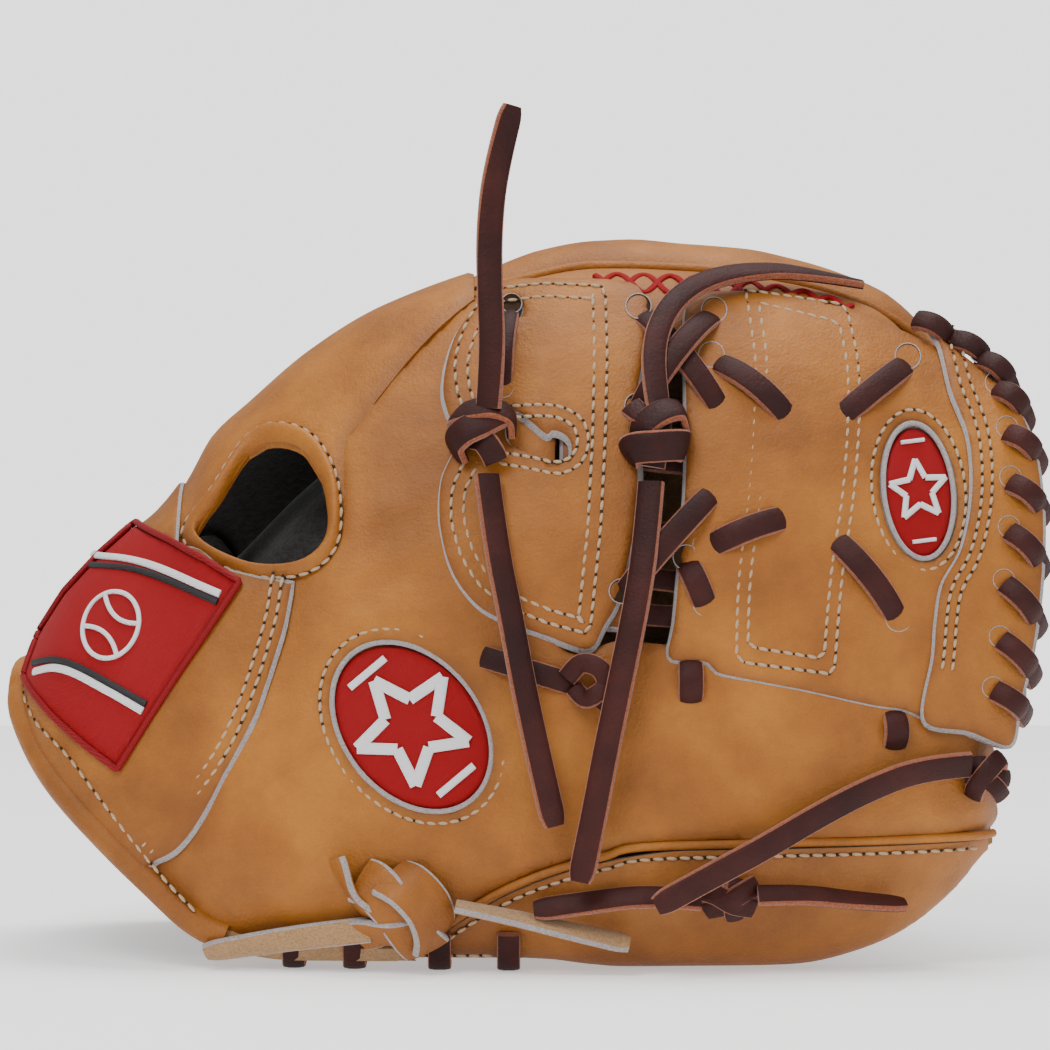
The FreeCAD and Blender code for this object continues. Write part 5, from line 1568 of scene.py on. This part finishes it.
def studio():
    mesh = bpy.data.meshes.new("floor")
    turn = np.linspace(0, 2 * np.pi, 64, endpoint=False)
    points = [(FLOOR_RADIUS * math.cos(t), FLOOR_RADIUS * math.sin(t), 0.0) for t in turn]
    mesh.from_pydata(points, [], [tuple(range(64))])
    floor = add_object("floor", mesh)
    paint = Nodes("pale_floor")
    grey = paint.ramp(paint.noise(3.0), [(0.3, (0.86, 0.86, 0.86)), (0.7, (0.88, 0.88, 0.88))])
    paint.finish(grey, 0.9, paint.bump(paint.noise(50.0), 0.02, 0.001))
    paint.shader.inputs["Emission Color"].default_value = (1.0, 1.0, 1.0, 1.0)
    paint.shader.inputs["Emission Strength"].default_value = FLOOR_GLOW
    mesh.materials.append(paint.material)
    world = bpy.data.worlds.new("studio")
    world.use_nodes = True
    background = world.node_tree.nodes["Background"]
    background.inputs["Color"].default_value = (1.0, 1.0, 1.0, 1.0)
    seen = world.node_tree.nodes.new("ShaderNodeLightPath").outputs["Is Camera Ray"]
    level = world.node_tree.nodes.new("ShaderNodeMapRange")
    level.inputs["To Min"].default_value = WORLD_LIGHT
    level.inputs["To Max"].default_value = WORLD_SEEN
    world.node_tree.links.new(seen, level.inputs["Value"])
    world.node_tree.links.new(level.outputs["Result"], background.inputs["Strength"])
    bpy.context.scene.world = world
    area_light("key", (-0.6, -1.2, 1.6), 0.8, 25)
    area_light("fill", (1.4, -1.3, 0.6), 1.2, 8)
    area_light("top", (0.1, 0.2, 1.5), 0.9, 20)
    camera = bpy.data.cameras.new("camera")
    camera.sensor_width = 36.0
    camera.lens = camera.sensor_width * (CAMERA_DISTANCE - NEAR_SIDE) / VIEW_WIDTH
    camera.clip_end = 20.0
    obj = add_object("camera", camera)
    middle = Vector(VIEW_MIDDLE)
    tilt = math.radians(CAMERA_TILT)
    back = Vector((0, -math.cos(tilt), math.sin(tilt)))
    obj.location = middle + back * CAMERA_DISTANCE
    obj.rotation_euler = (middle - obj.location).to_track_quat("-Z", "Y").to_euler()
    bpy.context.scene.camera = obj


studio()
tails()
knots()
heel_and_thumb()
wrist_strap()
hand_back()
outer_side()
palm()
finger_backs()
stalls()
bindings()
web()
web_laces()
foot_turns()
pocket_laces()
patches()
index_band()
seam_stitches()
hide_welts()
finish_stitches()
